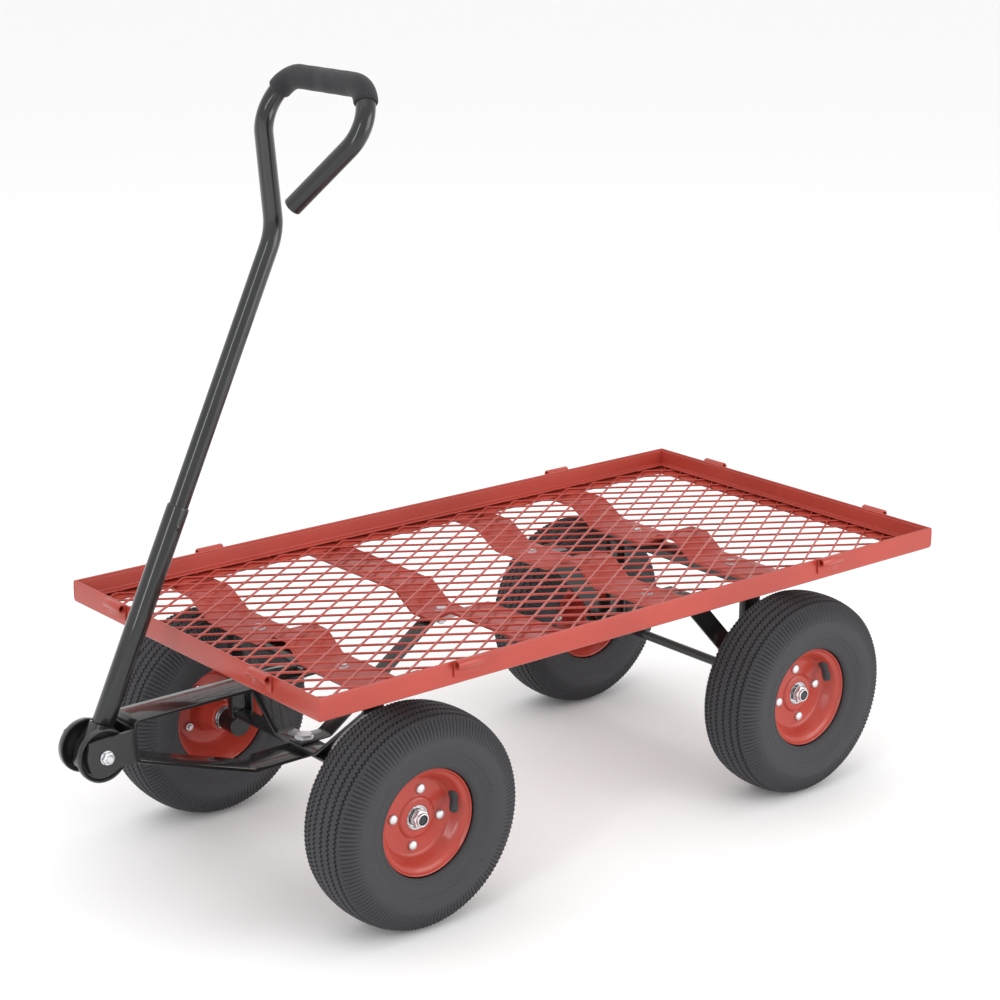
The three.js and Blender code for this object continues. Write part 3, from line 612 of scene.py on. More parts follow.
def add_rail(name):
    """A mitred angle rail. Its section is drawn inwards from the deck's outer wall."""
    low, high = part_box(name)
    deck_low, deck_high = deck_corners()
    centre = (low + high) / 2
    section = angle_section(name)
    gap = 0.15 * MM
    if high.y - low.y > high.x - low.x:
        side = 1 if centre.x > 0 else -1
        wall = deck_high.x if side > 0 else deck_low.x
        ends = [(Vector((wall, deck_low.y + gap, 0)), Vector((-side, 1, 0)))]
        ends.append((Vector((wall, deck_high.y - gap, 0)), Vector((-side, -1, 0))))
    else:
        side = 1 if centre.y > 0 else -1
        wall = deck_high.y if side > 0 else deck_low.y
        ends = [(Vector((deck_low.x + gap, wall, 0)), Vector((1, -side, 0)))]
        ends.append((Vector((deck_high.x - gap, wall, 0)), Vector((-1, -side, 0))))
    shape = sweep(Shape(), [(origin, inwards, Z) for origin, inwards in ends], section)
    piece(name + "_angle", shape, "red_powder_coat", "chassis", [name])


def deck_corners():
    """The outer faces of the four rails."""
    low = Vector((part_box("rail_right")[0].x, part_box("rail_front")[0].y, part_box("rail_left")[0].z))
    high = Vector((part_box("rail_left")[1].x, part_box("rail_rear")[1].y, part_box("rail_left")[1].z))
    return low, high


def frame_corners(low, high):
    """The four corners of a frame, in order round it, each with its way inwards."""
    for side_x, side_y in ((1, 1), (-1, 1), (-1, -1), (1, -1)):
        corner = Vector((high.x if side_x > 0 else low.x, high.y if side_y > 0 else low.y, 0))
        yield corner, Vector((-side_x, -side_y, 0))


def add_corner_welds():
    low, high = deck_corners()
    shape = Shape()
    for i, (corner, inwards) in enumerate(frame_corners(low, high)):
        outer = corner + inwards * 0.5 * MM
        weld(shape, outer + Z * (low.z + 3 * MM), outer + Z * (high.z - 1.5 * MM), 1.0 * MM, i)
        inner = corner + inwards * 3.4 * MM
        weld(shape, inner + Z * (high.z - 9 * MM), inner + Z * (high.z - 1 * MM), SEAM, 10 + i)
    piece("corner_welds", shape, "red_powder_coat", "chassis")


def add_clamp_frame():
    """The thin angle inside the rails that holds the mesh's edge down."""
    low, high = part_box("mesh_clamp_frame")
    shelf = low.z + CLAMP_WALL
    corners = [(0, low.z), (0, high.z), (CLAMP_WALL, high.z)]
    corners += [(CLAMP_WALL, shelf), (CLAMP_FLANGE, shelf), (CLAMP_FLANGE, low.z)]
    section = fillet(corners, [1.6 * MM, 0.8 * MM, 0.8 * MM, 1 * MM, 0.8 * MM, 0.8 * MM], 3, True)
    places = [(corner, inwards, Z) for corner, inwards in frame_corners(low, high)]
    shape = sweep(Shape(), places, section, closed=True)
    piece("clamp_angle", shape, "red_powder_coat", "chassis", ["mesh_clamp_frame"])
    tacks = Shape()
    spacing = 0.11
    count = int((high.y - low.y) / spacing)
    for i in range(count + 1):
        y = low.y + (high.y - low.y) * (i + 0.5) / (count + 1)
        for x, way in ((low.x, 1), (high.x, -1)):
            spot = Vector((x + way * CLAMP_FLANGE, y, low.z + 1 * MM))
            weld(tacks, spot - Y * 3 * MM, spot + Y * 3 * MM, SEAM, i)
    piece("clamp_welds", tacks, "red_powder_coat", "chassis")


def diamond(centre, reach_x, reach_y, notch):
    """A diamond's four corners, each with a point just before and just after it."""
    corners = [Vector((reach_x, 0)), Vector((0, reach_y)), Vector((-reach_x, 0)), Vector((0, -reach_y))]
    points = []
    for i, corner in enumerate(corners):
        points.append(centre + corner.lerp(corners[i - 1], notch))
        points.append(centre + corner)
        points.append(centre + corner.lerp(corners[(i + 1) % 4], notch))
    return points


# Each ring of a strand's section: how far it lies from the strand's middle, and its height.
STRAND_RINGS = ((0.0, 1.0), (0.62, 1.0), (0.9, 0.62), (1.0, 0.0), (0.9, -0.62), (0.62, -1.0), (0.0, -1.0))


def mesh_cell(centre, level, lift):
    """The strands' halves round one diamond opening, as rings of twelve points."""
    sizes = bpy.context.scene.cart_sizes
    half_x = sizes.mesh_pitch_across / 2
    half_y = sizes.mesh_pitch_along / 2
    slant = math.hypot(half_x, half_y)
    points = []
    for offset, height in STRAND_RINGS:
        inset = offset * sizes.mesh_strand / 2
        ring = diamond(centre, half_x - inset * slant / half_y, half_y - inset * slant / half_x, 0.1)
        if offset:
            for k in (1, 4, 7, 10):
                ring[k] = ring[k].lerp((ring[k - 1] + ring[k + 1]) / 2, 0.55 * offset)
        points.extend(Vector((p.x, p.y, level + lift * height)) for p in ring)
    return points, skin(len(STRAND_RINGS), 12, closed=False)


def trim(mesh, low, high):
    """Cuts a mesh at the four sides of a box and closes the cut ends."""
    work = bmesh.new()
    work.from_mesh(mesh)
    bmesh.ops.remove_doubles(work, verts=work.verts, dist=1e-5)
    for spot, way in ((low, -1), (high, 1)):
        for axis in (X, Y):
            everything = work.verts[:] + work.edges[:] + work.faces[:]
            bmesh.ops.bisect_plane(
                work, geom=everything, dist=1e-7, plane_co=spot, plane_no=axis * way, clear_outer=True
            )
    open_edges = [edge for edge in work.edges if edge.is_boundary]
    bmesh.ops.holes_fill(work, edges=open_edges, sides=0)
    bmesh.ops.recalc_face_normals(work, faces=work.faces)
    work.to_mesh(mesh)
    work.free()


def add_deck_mesh():
    """Expanded metal: flat-rolled strands with softened edges round diamond openings."""
    sizes = bpy.context.scene.cart_sizes
    low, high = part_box("deck_mesh")
    half_x = sizes.mesh_pitch_across / 2
    half_y = sizes.mesh_pitch_along / 2
    lift = (high.z - low.z) / 2
    level = (high.z + low.z) / 2
    columns = int((high.x - low.x) / half_x / 2) + 1
    rows = int((high.y - low.y) / half_y / 2) + 1
    mid_y = (low.y + high.y) / 2
    shape = Shape()
    for i in range(-columns, columns + 1):
        for j in range(-rows, rows + 1):
            if (i + j) % 2 == 0:
                shape.add(*mesh_cell(Vector((i * half_x, mid_y + j * half_y)), level, lift))
    mesh = bpy.data.meshes.new("expanded_mesh")
    mesh.from_pydata([tuple(point) for point in shape.points], [], shape.faces)
    trim(mesh, low, high)
    mesh.polygons.foreach_set("use_smooth", [True] * len(mesh.polygons))
    mesh.set_sharp_from_angle(angle=math.radians(60))
    place("expanded_mesh", mesh, "red_powder_coat", "chassis", ["deck_mesh"])


def add_straps():
    """The four bent cross straps that carry the deck."""
    sizes = bpy.context.scene.cart_sizes
    thick = BAR_THICKNESS
    double = [(0, 0), (15, 0), (45, 1), (150, 1), (190, 0)]
    single = [(0, 1), (20, 1), (55, 0)]
    for number in range(1, 5):
        node = f"cross_strap_{number}"
        low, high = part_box(node)
        centre = (low + high) / 2
        top = high.z - thick / 2
        dip = low.z + thick / 2
        half = [(x * MM, dip if sunk else top) for x, sunk in (single if number == 2 else double)]
        half.append((high.x, top))
        line = [Vector((-x, centre.y, z)) for x, z in reversed(half[1:])]
        line += [Vector((x, centre.y, z)) for x, z in half[1:]]
        shape = Shape()
        bent_bar(shape, line, sizes.strap_bend, Y, flat_bar(high.y - low.y, thick, 1.0 * MM))
        piece(f"strap_{number}", shape, "red_powder_coat", "chassis", [node])
    welds = Shape()
    for number in range(1, 5):
        low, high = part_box(f"cross_strap_{number}")
        for i, x in enumerate((low.x, high.x)):
            way = 1 if x < 0 else -1
            edge_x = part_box("rail_right")[1].x if x < 0 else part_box("rail_left")[0].x
            for j, y in enumerate((low.y + 12 * MM, high.y - 12 * MM)):
                spot = Vector((edge_x, y, high.z + BODY_GAP))
                weld(welds, spot - Y * 6 * MM, spot + Y * 6 * MM, SEAM, 40 * number + 2 * i + j)
    piece("strap_welds", welds, "red_powder_coat", "chassis")


def add_strap_bolts():
    names = [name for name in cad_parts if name.startswith("strap_bolt_")]
    for i, name in enumerate(sorted(names)):
        shape = bolt_through(name, 6.0 * MM, 4.8 * MM, 4 * MM, 7.4 * MM, 0.4 * i)
        piece(name.replace("strap_bolt", "deck_bolt"), shape, "zinc_plate", "chassis", [name])


def add_panel_loops():
    """Loops rolled from strip, on the outside of the rails."""
    strip = 2 * MM
    roll = 4.5 * MM
    for name in sorted(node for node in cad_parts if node.startswith("panel_loop_")):
        low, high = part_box(name)
        centre = (low + high) / 2
        out = X if abs(centre.x) > abs(centre.y) * 0.6 else Y
        wall_normal = out * (1 if centre.dot(out) > 0 else -1)
        along = Z.cross(wall_normal)
        length_along = abs((high - low).dot(along))
        inner = min(abs(low.dot(out)), abs(high.dot(out)))
        eye_height = high.z - 5.5 * MM
        level = Vector((centre.x, centre.y, 0))
        wall = level + wall_normal * (inner - level.dot(wall_normal))

        def at(u, z):
            return wall + wall_normal * u + Z * z

        line = [at(1.15 * MM, low.z), at(1.15 * MM, eye_height - 3 * MM)]
        for step in range(19):
            angle = math.pi - step / 18 * math.radians(318)
            line.append(at(5.5 * MM + roll * math.cos(angle), eye_height + roll * math.sin(angle)))
        shape = Shape()
        sweep(shape, stations(line, along), flat_bar(length_along, strip, 0.5 * MM))
        for i, way in enumerate((-1, 1)):
            foot = at(0.6 * MM, low.z) + along * way * length_along * 0.3
            weld(shape, foot - along * 5 * MM, foot + along * 5 * MM, 1.3 * MM, 7 + i)
        loop = name.replace("panel_loop", "rolled_loop")
        piece(loop, shape, "red_powder_coat", "chassis", [name], sharp=50)


# ---- Undercarriage ----


def plate(shape, outline, low_x, high_x):
    """An outline in (y, z) given thickness along X."""
    count = len(outline)
    points = [Vector((x, y, z)) for x in (low_x, high_x) for y, z in outline]
    faces = [tuple(range(count)), tuple(range(2 * count - 1, count - 1, -1))]
    faces += [(i, (i + 1) % count, count + (i + 1) % count, count + i) for i in range(count)]
    return shape.add(points, faces)


def channel(shape, start, end, web, width, depth, sheet=CHANNEL_SHEET):
    """A folded channel. web points out of its back, and its flanges point the other way."""
    along = (Vector(end) - Vector(start)).normalized()
    side = along.cross(web).normalized()
    w = width / 2
    corners = [(-w, 0), (w, 0), (w, -depth), (w - sheet, -depth), (w - sheet, -sheet)]
    corners += [(-w + sheet, -sheet), (-w + sheet, -depth), (-w, -depth)]
    radii = [2.6 * MM, 2.6 * MM, 0.6 * MM, 0.6 * MM, 1.2 * MM, 1.2 * MM, 0.6 * MM, 0.6 * MM]
    section = fillet(corners, radii, 3, True)
    places = [(Vector(start), side, web), (Vector(end), side, web)]
    return sweep(shape, places, section)


def add_front_bolster():
    """A folded cross bar under the deck with a flat bar bent down from it to the kingpin."""
    low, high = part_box("front_bolster")
    y = (low.y + high.y) / 2
    thick = BAR_THICKNESS
    width = high.y - low.y
    outer = high.x - thick / 2
    elbow = high.z - 33 * MM
    foot = 40 * MM
    shape = Shape()
    inset = CHANNEL_SHEET
    channel(shape, (low.x + inset, y, high.z), (high.x - inset, y, high.z), Z, width, 12.7 * MM)
    under = high.z - 3.3 * MM
    base = low.z + thick / 2
    line = [(-outer + 14 * MM, y, under), (-outer, y, under), (-outer, y, elbow), (-foot, y, base)]
    line += [(foot, y, base), (outer, y, elbow), (outer, y, under), (outer - 14 * MM, y, under)]
    inner_width = width - 6.6 * MM
    radii = [0, 4 * MM, 9 * MM, 10 * MM, 10 * MM, 9 * MM, 4 * MM, 0]
    bent_bar(shape, line, radii, Y, flat_bar(inner_width + 5 * MM, thick))
    piece("front_bolster_bar", shape, "black_gloss_paint", "chassis", ["front_bolster"])


def add_centre_brace():
    low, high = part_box("centre_brace")
    thick = STAY_THICKNESS
    front, rear = low.y, high.y
    top, base = high.z - thick / 2, low.z + thick / 2
    line = [(0, rear, top), (0, rear - 35.5 * MM, top), (0, front + 42 * MM, base), (0, front, base)]
    shape = Shape()
    bent_bar(shape, line, 9 * MM, X, flat_bar(high.x - low.x, thick))
    piece("centre_stay", shape, "black_gloss_paint", "chassis", ["centre_brace"])


def add_kingpins():
    for node, name in (("kingpin_bolt", "kingpin"), ("upper_pivot_bolt", "upper_pivot")):
        shape = bolt_through(node, 8.6 * MM, 5 * MM, 6 * MM, 11.5 * MM)
        piece(name, shape, "zinc_plate", "chassis", [node])


def add_rear_frame():
    """The folded cross bar, its two posts and the two side braces."""
    low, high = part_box("rear_cross_bar")
    y = (low.y + high.y) / 2
    shape = Shape()
    channel(shape, (low.x, y, high.z), (high.x, y, high.z), Z, high.y - low.y, high.z - low.z)
    piece("rear_cross_channel", shape, "black_gloss_paint", "chassis", ["rear_cross_bar"])
    for side, way in SIDES.items():
        node = f"rear_post_{side}"
        post_low, post_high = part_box(node)
        outer = post_high.x if way > 0 else post_low.x
        post = Shape()
        start = (outer, y, post_low.z)
        depth = post_high.x - post_low.x
        channel(post, start, (outer, y, post_high.z), X * way, post_high.y - post_low.y, depth)
        for i, edge_y in enumerate((post_low.y + 1 * MM, post_high.y - 1 * MM)):
            seam = Vector((outer - way * 1 * MM, edge_y, post_high.z - 0.5 * MM))
            weld(post, seam, seam - X * way * 9 * MM, SEAM, 60 + i)
        piece(f"rear_upright_{side}", post, "black_gloss_paint", "chassis", [node])
        add_rear_brace(side, way)


def add_rear_brace(side, way):
    """A flat bar from an eye on the axle up to a foot turned in under the third strap."""
    node = f"rear_brace_{side}"
    low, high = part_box(node)
    axle = middle("rear_axle")
    thick = BAR_THICKNESS
    half = 12.5 * MM
    mid_x = (high.x if way > 0 else low.x) - way * thick / 2
    foot_mid = middle("cross_strap_3")
    top_y = foot_mid.y + 42 * MM
    eye = Vector((mid_x, axle.y, axle.z))
    head = Vector((mid_x, top_y, high.z))
    rise = (head - eye).normalized()
    across = rise.cross(X).normalized()
    outline = []
    for step in range(13):
        angle = math.pi * step / 12
        outline.append(eye - rise * half * math.sin(angle) + across * half * math.cos(angle))
    for edge_way in (-1, 1):
        start = eye + across * half * edge_way
        outline.append(start + rise * ((high.z - start.z) / rise.z))
    shape = plate(Shape(), [(point.y, point.z) for point in outline], mid_x - thick / 2, mid_x + thick / 2)
    foot_in = low.x if way > 0 else high.x
    width = foot_mid.y - half, top_y + 12 * MM
    foot_y = sum(width) / 2
    start = Vector((foot_in, foot_y, high.z - thick / 2))
    end = Vector((mid_x + way * thick / 2, foot_y, high.z - thick / 2))
    straight(shape, start, end, Y, flat_bar(width[1] - width[0], thick))
    piece(f"rear_stay_{side}", shape, "black_gloss_paint", "chassis", [node], edge=0.7 * MM)


def add_rear_axle():
    low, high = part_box("rear_axle")
    centre = (low + high) / 2
    radius = (high.z - low.z) / 2
    thread = 14 * MM
    shape = Shape()
    start = Vector((low.x + thread, centre.y, centre.z))
    disc(shape, start, X, radius, high.x - low.x - 2 * thread, 0.4 * MM)
    for way, tip in ((-1, low.x), (1, high.x)):
        reach = thread + 0.5 * MM
        threaded(shape, (tip - way * reach, centre.y, centre.z), X * way, radius, reach)
    piece("rear_axle_rod", shape, "black_gloss_paint", "chassis", ["rear_axle"])
    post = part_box("rear_post_left")[1].x
    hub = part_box("rear_left_wheel_rim")[0].x
    spacers = Shape()
    for way in (-1, 1):
        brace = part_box("rear_brace_left")[1].x
        start = Vector((way * (brace + BODY_GAP), centre.y, centre.z))
        room = hub - brace - 0.7 * MM
        disc(spacers, start, X * way, 10.5 * MM, room - 2.2 * MM, 0.5 * MM, radius)
        disc(spacers, start + X * way * (room - 2 * MM), X * way, 12 * MM, 1.8 * MM, 0.4 * MM, radius)
        inner = Vector((way * (post - 3.3 * MM), centre.y, centre.z))
        disc(spacers, inner, -X * way, 11 * MM, 1.6 * MM, 0.4 * MM, radius)
    piece("rear_axle_spacers", spacers, "black_gloss_paint", "chassis")


def add_nuts():
    for end in ("front", "rear"):
        for side, way in SIDES.items():
            node = f"{end}_axle_nut_{side}"
            low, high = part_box(node)
            centre = (low + high) / 2
            face = low.x if way > 0 else high.x
            shape = Shape()
            disc(shape, (face, centre.y, centre.z), X * way, 10.2 * MM, 1.4 * MM, 0.4 * MM, NUT_BORE)
            start = Vector((face + way * 1.4 * MM, centre.y, centre.z))
            hexagon(shape, start, X * way, 9.4 * MM, 5.0 * MM, NUT_BORE, 0.25, True)
            collar = [(6.3, 0), (8.2, 0), (8.2, 2.0), (7.6, 3.0), (6.6, 3.2), (6.3, 3.0)]
            lathe(shape, collar, start + X * way * 4.9 * MM, X * way, 36)
            body = "steering" if end == "front" else "chassis"
            piece(f"{end}_wheel_nut_{side}", shape, "zinc_plate", body, [node])


def add_front_axle():
    """The beam, its end brackets and the stub axles that the front wheels turn on."""
    low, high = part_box("front_axle_beam")
    y = (low.y + high.y) / 2
    shape = Shape()
    mid = (low.z + high.z) / 2
    straight(shape, (low.x, y, mid), (high.x, y, mid), Y, flat_bar(high.y - low.y, high.z - low.z))
    piece("front_beam", shape, "black_gloss_paint", "steering", ["front_axle_beam"])
    for side, way in SIDES.items():
        add_axle_bracket(side, way, high.z)
        add_stub(side, way)


def add_axle_bracket(side, way, beam_top):
    """The channel at the beam's end that stands on the stub's boss."""
    node = f"axle_bracket_{side}"
    low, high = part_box(node)
    outer = high.x if way > 0 else low.x
    y = (low.y + high.y) / 2
    bracket = Shape()
    width, depth = high.y - low.y, high.x - low.x
    channel(bracket, (outer, y, low.z), (outer, y, high.z), X * way, width, depth)
    for i, edge in enumerate((-1, 1)):
        seam = Vector((outer - way * CHANNEL_SHEET, y + edge * 6 * MM, beam_top))
        weld(bracket, seam - Y * 4 * MM, seam + Y * 4 * MM, 1.6 * MM, 70 + i)
    piece(f"axle_channel_{side}", bracket, "black_gloss_paint", "steering", [node])


def add_stub(side, way):
    """A boss with the axle turned on its outer end, threaded at the tip, and a spacer by the hub."""
    low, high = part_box(f"stub_axle_{side}")
    inner, tip = (low.x, high.x) if way > 0 else (high.x, low.x)
    y, z = (low.y + high.y) / 2, (low.z + high.z) / 2
    reach = BOSS_END - abs(inner)
    outline = [(0, 0), (BOSS_RADIUS - 1.4 * MM, 0), (BOSS_RADIUS, 1.4 * MM)]
    outline += [(BOSS_RADIUS, reach - 1.2 * MM), (BOSS_RADIUS - 1.2 * MM, reach), (AXLE_RADIUS, reach)]
    outline += [(AXLE_RADIUS, reach + 50 * MM), (0, reach + 50 * MM)]
    stub = turned(Shape(), outline, Vector((inner, y, z)), X * way)
    start = way * THREAD_START
    threaded(stub, (start, y, z), X * way, AXLE_RADIUS + 0.03 * MM, abs(tip - start) - 1.2 * MM)
    piece(f"front_stub_{side}", stub, "black_gloss_paint", "steering", [f"stub_axle_{side}"])
    face = (way * (BOSS_END + BODY_GAP), y, z)
    steel = disc(Shape(), face, X * way, 11.5 * MM, 4.4 * MM, 0.5 * MM, AXLE_RADIUS)
    piece(f"front_spacer_{side}", steel, "zinc_plate", "steering")


def add_drawbar():
    """One flat bar folded into a long loop: level on top, square at the nose, sloped up from below."""
    low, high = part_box("drawbar")
    thick = BAR_THICKNESS
    nose = low.y + thick / 2
    top, base = high.z - thick / 2, low.z + thick / 2
    nose_low = high.z - 50 * MM
    knee = low.y + 158 * MM
    line = [(0, high.y, base), (0, knee, base), (0, nose, nose_low), (0, nose, top), (0, high.y, top)]
    shape = Shape()
    bent_bar(shape, line, [0, 16 * MM, 7 * MM, 5 * MM, 0], X, flat_bar(high.x - low.x, thick), 6)
    piece("drawbar_loop", shape, "black_gloss_paint", "steering", ["drawbar"])


# ---- Handle ----


def clevis_outline(low, high, wall, front):
    """The cheek's outline in (y, z): square at the wall, bowed at the front."""
    return [
        (wall, low + 5 * MM),
        (wall, high),
        (front + 4.5 * MM, high - 2.5 * MM),
        (front, high - 22 * MM),
        (front + 7 * MM, low + 2.5 * MM),
        (front + 33 * MM, low),
        (front + 42 * MM, low + 5 * MM),
    ]


def add_clevis():
    low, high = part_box("clevis_bracket")
    thick = BAR_THICKNESS
    outline = clevis_outline(low.z, high.z, high.y, low.y)
    rounded = [tuple(p) for p in fillet(outline, [0, 0, 3 * MM, 40 * MM, 6 * MM, 14 * MM, 8 * MM], 5, True)]
    shape = Shape()
    plate(shape, rounded, high.x - thick, high.x)
    plate(shape, rounded, low.x, low.x + thick)
    mid = high.y - thick / 2
    centre = (low.z + 4 * MM + high.z) / 2
    web = flat_bar(high.z - low.z - 4 * MM, thick, 0.4 * MM)
    straight(shape, (low.x + BODY_GAP, mid, centre), (high.x - BODY_GAP, mid, centre), Z, web)
    piece("clevis", shape, "black_gloss_paint", "steering", ["clevis_bracket"], edge=0.7 * MM)
    welds = Shape()
    for way in (-1, 1):
        x = way * 23 * MM
        weld(welds, (x, high.y, low.z + 10 * MM), (x, high.y, high.z - 4 * MM), 1.6 * MM, 80 + way)
    piece("clevis_welds", welds, "black_gloss_paint", "steering")


class HandleAxes:
    """Places on the handle: across the cart, and along the handle from its pivot."""

    def __init__(self):
        lean = bpy.context.scene.cart_sizes.handle_lean
        self.pivot = middle("pivot_bolt")
        self.along = Vector((0, math.sin(lean), math.cos(lean)))
        self.front = X.cross(self.along)

    def at(self, x, s, out=0.0):
        return self.pivot + X * x + self.along * s + self.front * out


def add_yoke():
    """Two flanged discs on one hub, with a stem that goes up into the sleeve."""
    axes = HandleAxes()
    outline = [(5, 0), (13, 0), (14.5, 2.2), (22, 3.0), (26.5, 2.6), (28, 0.6), (29, 0), (30.2, 0.2)]
    outline += [(31, 1.2), (31, 6.6), (29.8, 7.8), (28, 7.6), (26, 6.2), (20, 5.8), (15, 8), (5, 8)]
    shape = Shape()
    for way in (-1, 1):
        lathe(shape, outline, axes.at(way * YOKE_HALF, 0), -X * way, 56)
    lathe(shape, [(5, 0), (14, 0), (14, 33), (5, 33)], axes.at(-16.5 * MM, 0), X, 40)
    places = []
    sizes = [(-22, 15.2, 13), (-19, 15.8, 15.5), (-10, 16, 17), (6, 16, 17), (14, 15.4, 15.6)]
    sizes += [(20, 14.4, 14.2), (25, 13.4, 13.2), (30, 12.6, 12.6)]
    for s, half_x, half_out in sizes:
        places.append((axes.at(0, s * MM), X * half_x * MM, axes.front * half_out * MM))
    square = []
    for step in range(40):
        angle = FULL_TURN * step / 40
        c, s = math.cos(angle), math.sin(angle)
        square.append((math.copysign(abs(c) ** 0.55, c), math.copysign(abs(s) ** 0.55, s)))
    sweep(shape, places, square)
    piece("yoke", shape, "black_gloss_paint", "handle", ["handle_yoke"], sharp=40)


def add_pivot():
    low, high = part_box("pivot_bolt")
    centre = (low + high) / 2
    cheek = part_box("clevis_bracket")[1].x
    shape = Shape()
    for way in (-1, 1):
        face = Vector((way * (cheek + BODY_GAP), centre.y, centre.z))
        disc(shape, face, X * way, 8.2 * MM, 1.3 * MM, 0.3 * MM, PIN_RADIUS)
        hexagon(shape, face + X * way * 1.3 * MM, X * way, 6.6 * MM, 4.2 * MM, 0, 0.5, way > 0)
    nut = Vector((cheek + 5.6 * MM, centre.y, centre.z))
    disc(shape, nut, X, 5.6 * MM, 1.4 * MM, 0.6 * MM, 4.6 * MM)
    threaded(shape, nut - X * 0.4 * MM, X, 4.5 * MM, high.x - nut.x + 0.4 * MM)
    start = (-cheek - BODY_GAP, centre.y, centre.z)
    disc(shape, start, X, PIN_RADIUS, 2 * (cheek + BODY_GAP))
    piece("pivot_pin", shape, "zinc_plate", "handle", ["pivot_bolt"])


def ring_tube(shape, places, outer, inner, count=32):
    """A hollow tube: its outside and its bore joined at both ends."""
    outside = [(origin, side * outer, up * outer) for origin, side, up in places]
    inside = [(origin, side * inner, up * inner) for origin, side, up in reversed(places)]
    return sweep(shape, outside + inside, round_bar(1.0, count), closed=True)


def add_sleeve():
    """The lower tube, with a lip rolled in at its top."""
    axes = HandleAxes()
    outer, inner, lip = 12.7 * MM, 11.3 * MM, 11.8 * MM
    steps = [(SLEEVE_START, 12.2 * MM), (SLEEVE_START + 0.8 * MM, outer), (SLEEVE_END - 2.5 * MM, outer)]
    steps += [(SLEEVE_END - 0.8 * MM, 12.4 * MM), (SLEEVE_END, lip)]
    steps += [(SLEEVE_END, inner), (SLEEVE_START, inner)]
    places = [(axes.at(0, s), X * radius, axes.front * radius) for s, radius in steps]
    shape = sweep(Shape(), places, round_bar(1.0, 40), closed=True)
    for way in (-1, 1):
        point = axes.at(way * (outer - 1.4 * MM), 262 * MM)
        lathe(shape, [(0, 0), (3.6, 0), (3.2, 1.4), (1.6, 2.2), (0, 2.4)], point, X * way, 20)
    piece("lower_tube", shape, "black_gloss_paint", "handle", ["handle_sleeve"])


def handle_line(axes, steps):
    """The bent tube's centre line, from inside the sleeve round the loop to its open end."""
    corners = [(0, TUBE_START), (0, LOOP_FORK), (-LOOP_HALF_WIDTH, LOOP_WIDEST)]
    corners += [(-LOOP_TOP_HALF_WIDTH, LOOP_TOP), (LOOP_TOP_HALF_WIDTH, LOOP_TOP)]
    corners += [(LOOP_HALF_WIDTH, LOOP_WIDEST), LEG_END]
    radii = [0, 60 * MM, 45 * MM, 38 * MM, 38 * MM, 45 * MM, 0]
    return fillet([axes.at(x, s) for x, s in corners], radii, steps)


def add_tube():
    axes = HandleAxes()
    line = handle_line(axes, 12)
    shape = ring_tube(Shape(), stations(line, axes.front), TUBE_RADIUS, TUBE_BORE, 36)
    piece("bent_tube", shape, "black_gloss_paint", "handle", ["handle_tube"])


def resample(line, spacing):
    """Points at even distances along a line."""
    points = [line[0]]
    left = spacing
    for start, end in zip(line, line[1:]):
        run = (end - start).length
        done = 0.0
        while run - done >= left:
            done += left
            points.append(start.lerp(end, done / run))
            left = spacing
        left -= run - done
    return points


def add_grip():
    """The foam sleeve round the top of the loop, with shallow rings and rounded ends."""
    axes = HandleAxes()
    lowest = LOOP_TOP - GRIP_DROP
    line = [p for p in handle_line(axes, 14) if (p - axes.pivot).dot(axes.along) > lowest]
    spine = resample(line, 1.0 * MM)
    last = len(spine) - 1
    dice = random.Random(5)
    outside = []
    places = stations(spine, axes.front)
    for i, (origin, side, up) in enumerate(places):
        end = min(i, last - i)
        radius = GRIP_RADIUS - 1.1 * MM * max(0, 1 - end / 3.0) ** 2
        radius += (0.10 * math.sin(i * 0.21) + 0.05 * dice.random()) * MM
        outside.append((origin, side * radius, up * radius))
    inside = [(origin, side * GRIP_BORE, up * GRIP_BORE) for origin, side, up in reversed(places)]
    shape = sweep(Shape(), outside + inside, round_bar(1.0, 36), closed=True)
    grip = piece("foam_sleeve", shape, "grip_foam", "handle", ["handle_grip"])


# ---- Wheels ----


def smooth_line(points, steps):
    """A smooth curve through points."""
    line = [Vector(point) for point in points]
    last = len(line) - 1
    curve = []
    for i in range(last):
        before = line[max(i - 1, 0)]
        start, end = line[i], line[i + 1]
        after = line[min(i + 2, last)]
        for step in range(steps):
            t = step / steps
            part = start * 2 + (end - before) * t
            part += (before * 2 - start * 5 + end * 4 - after) * t * t
            part += (start * 3 - before - end * 3 + after) * t * t * t
            curve.append(part / 2)
    return curve + [line[-1]]


def crown(x):
    """The tread's radius at a distance from the tyre's middle, in millimetres."""
    return 130 - 0.0045 * x * x - 0.0000011 * x ** 4


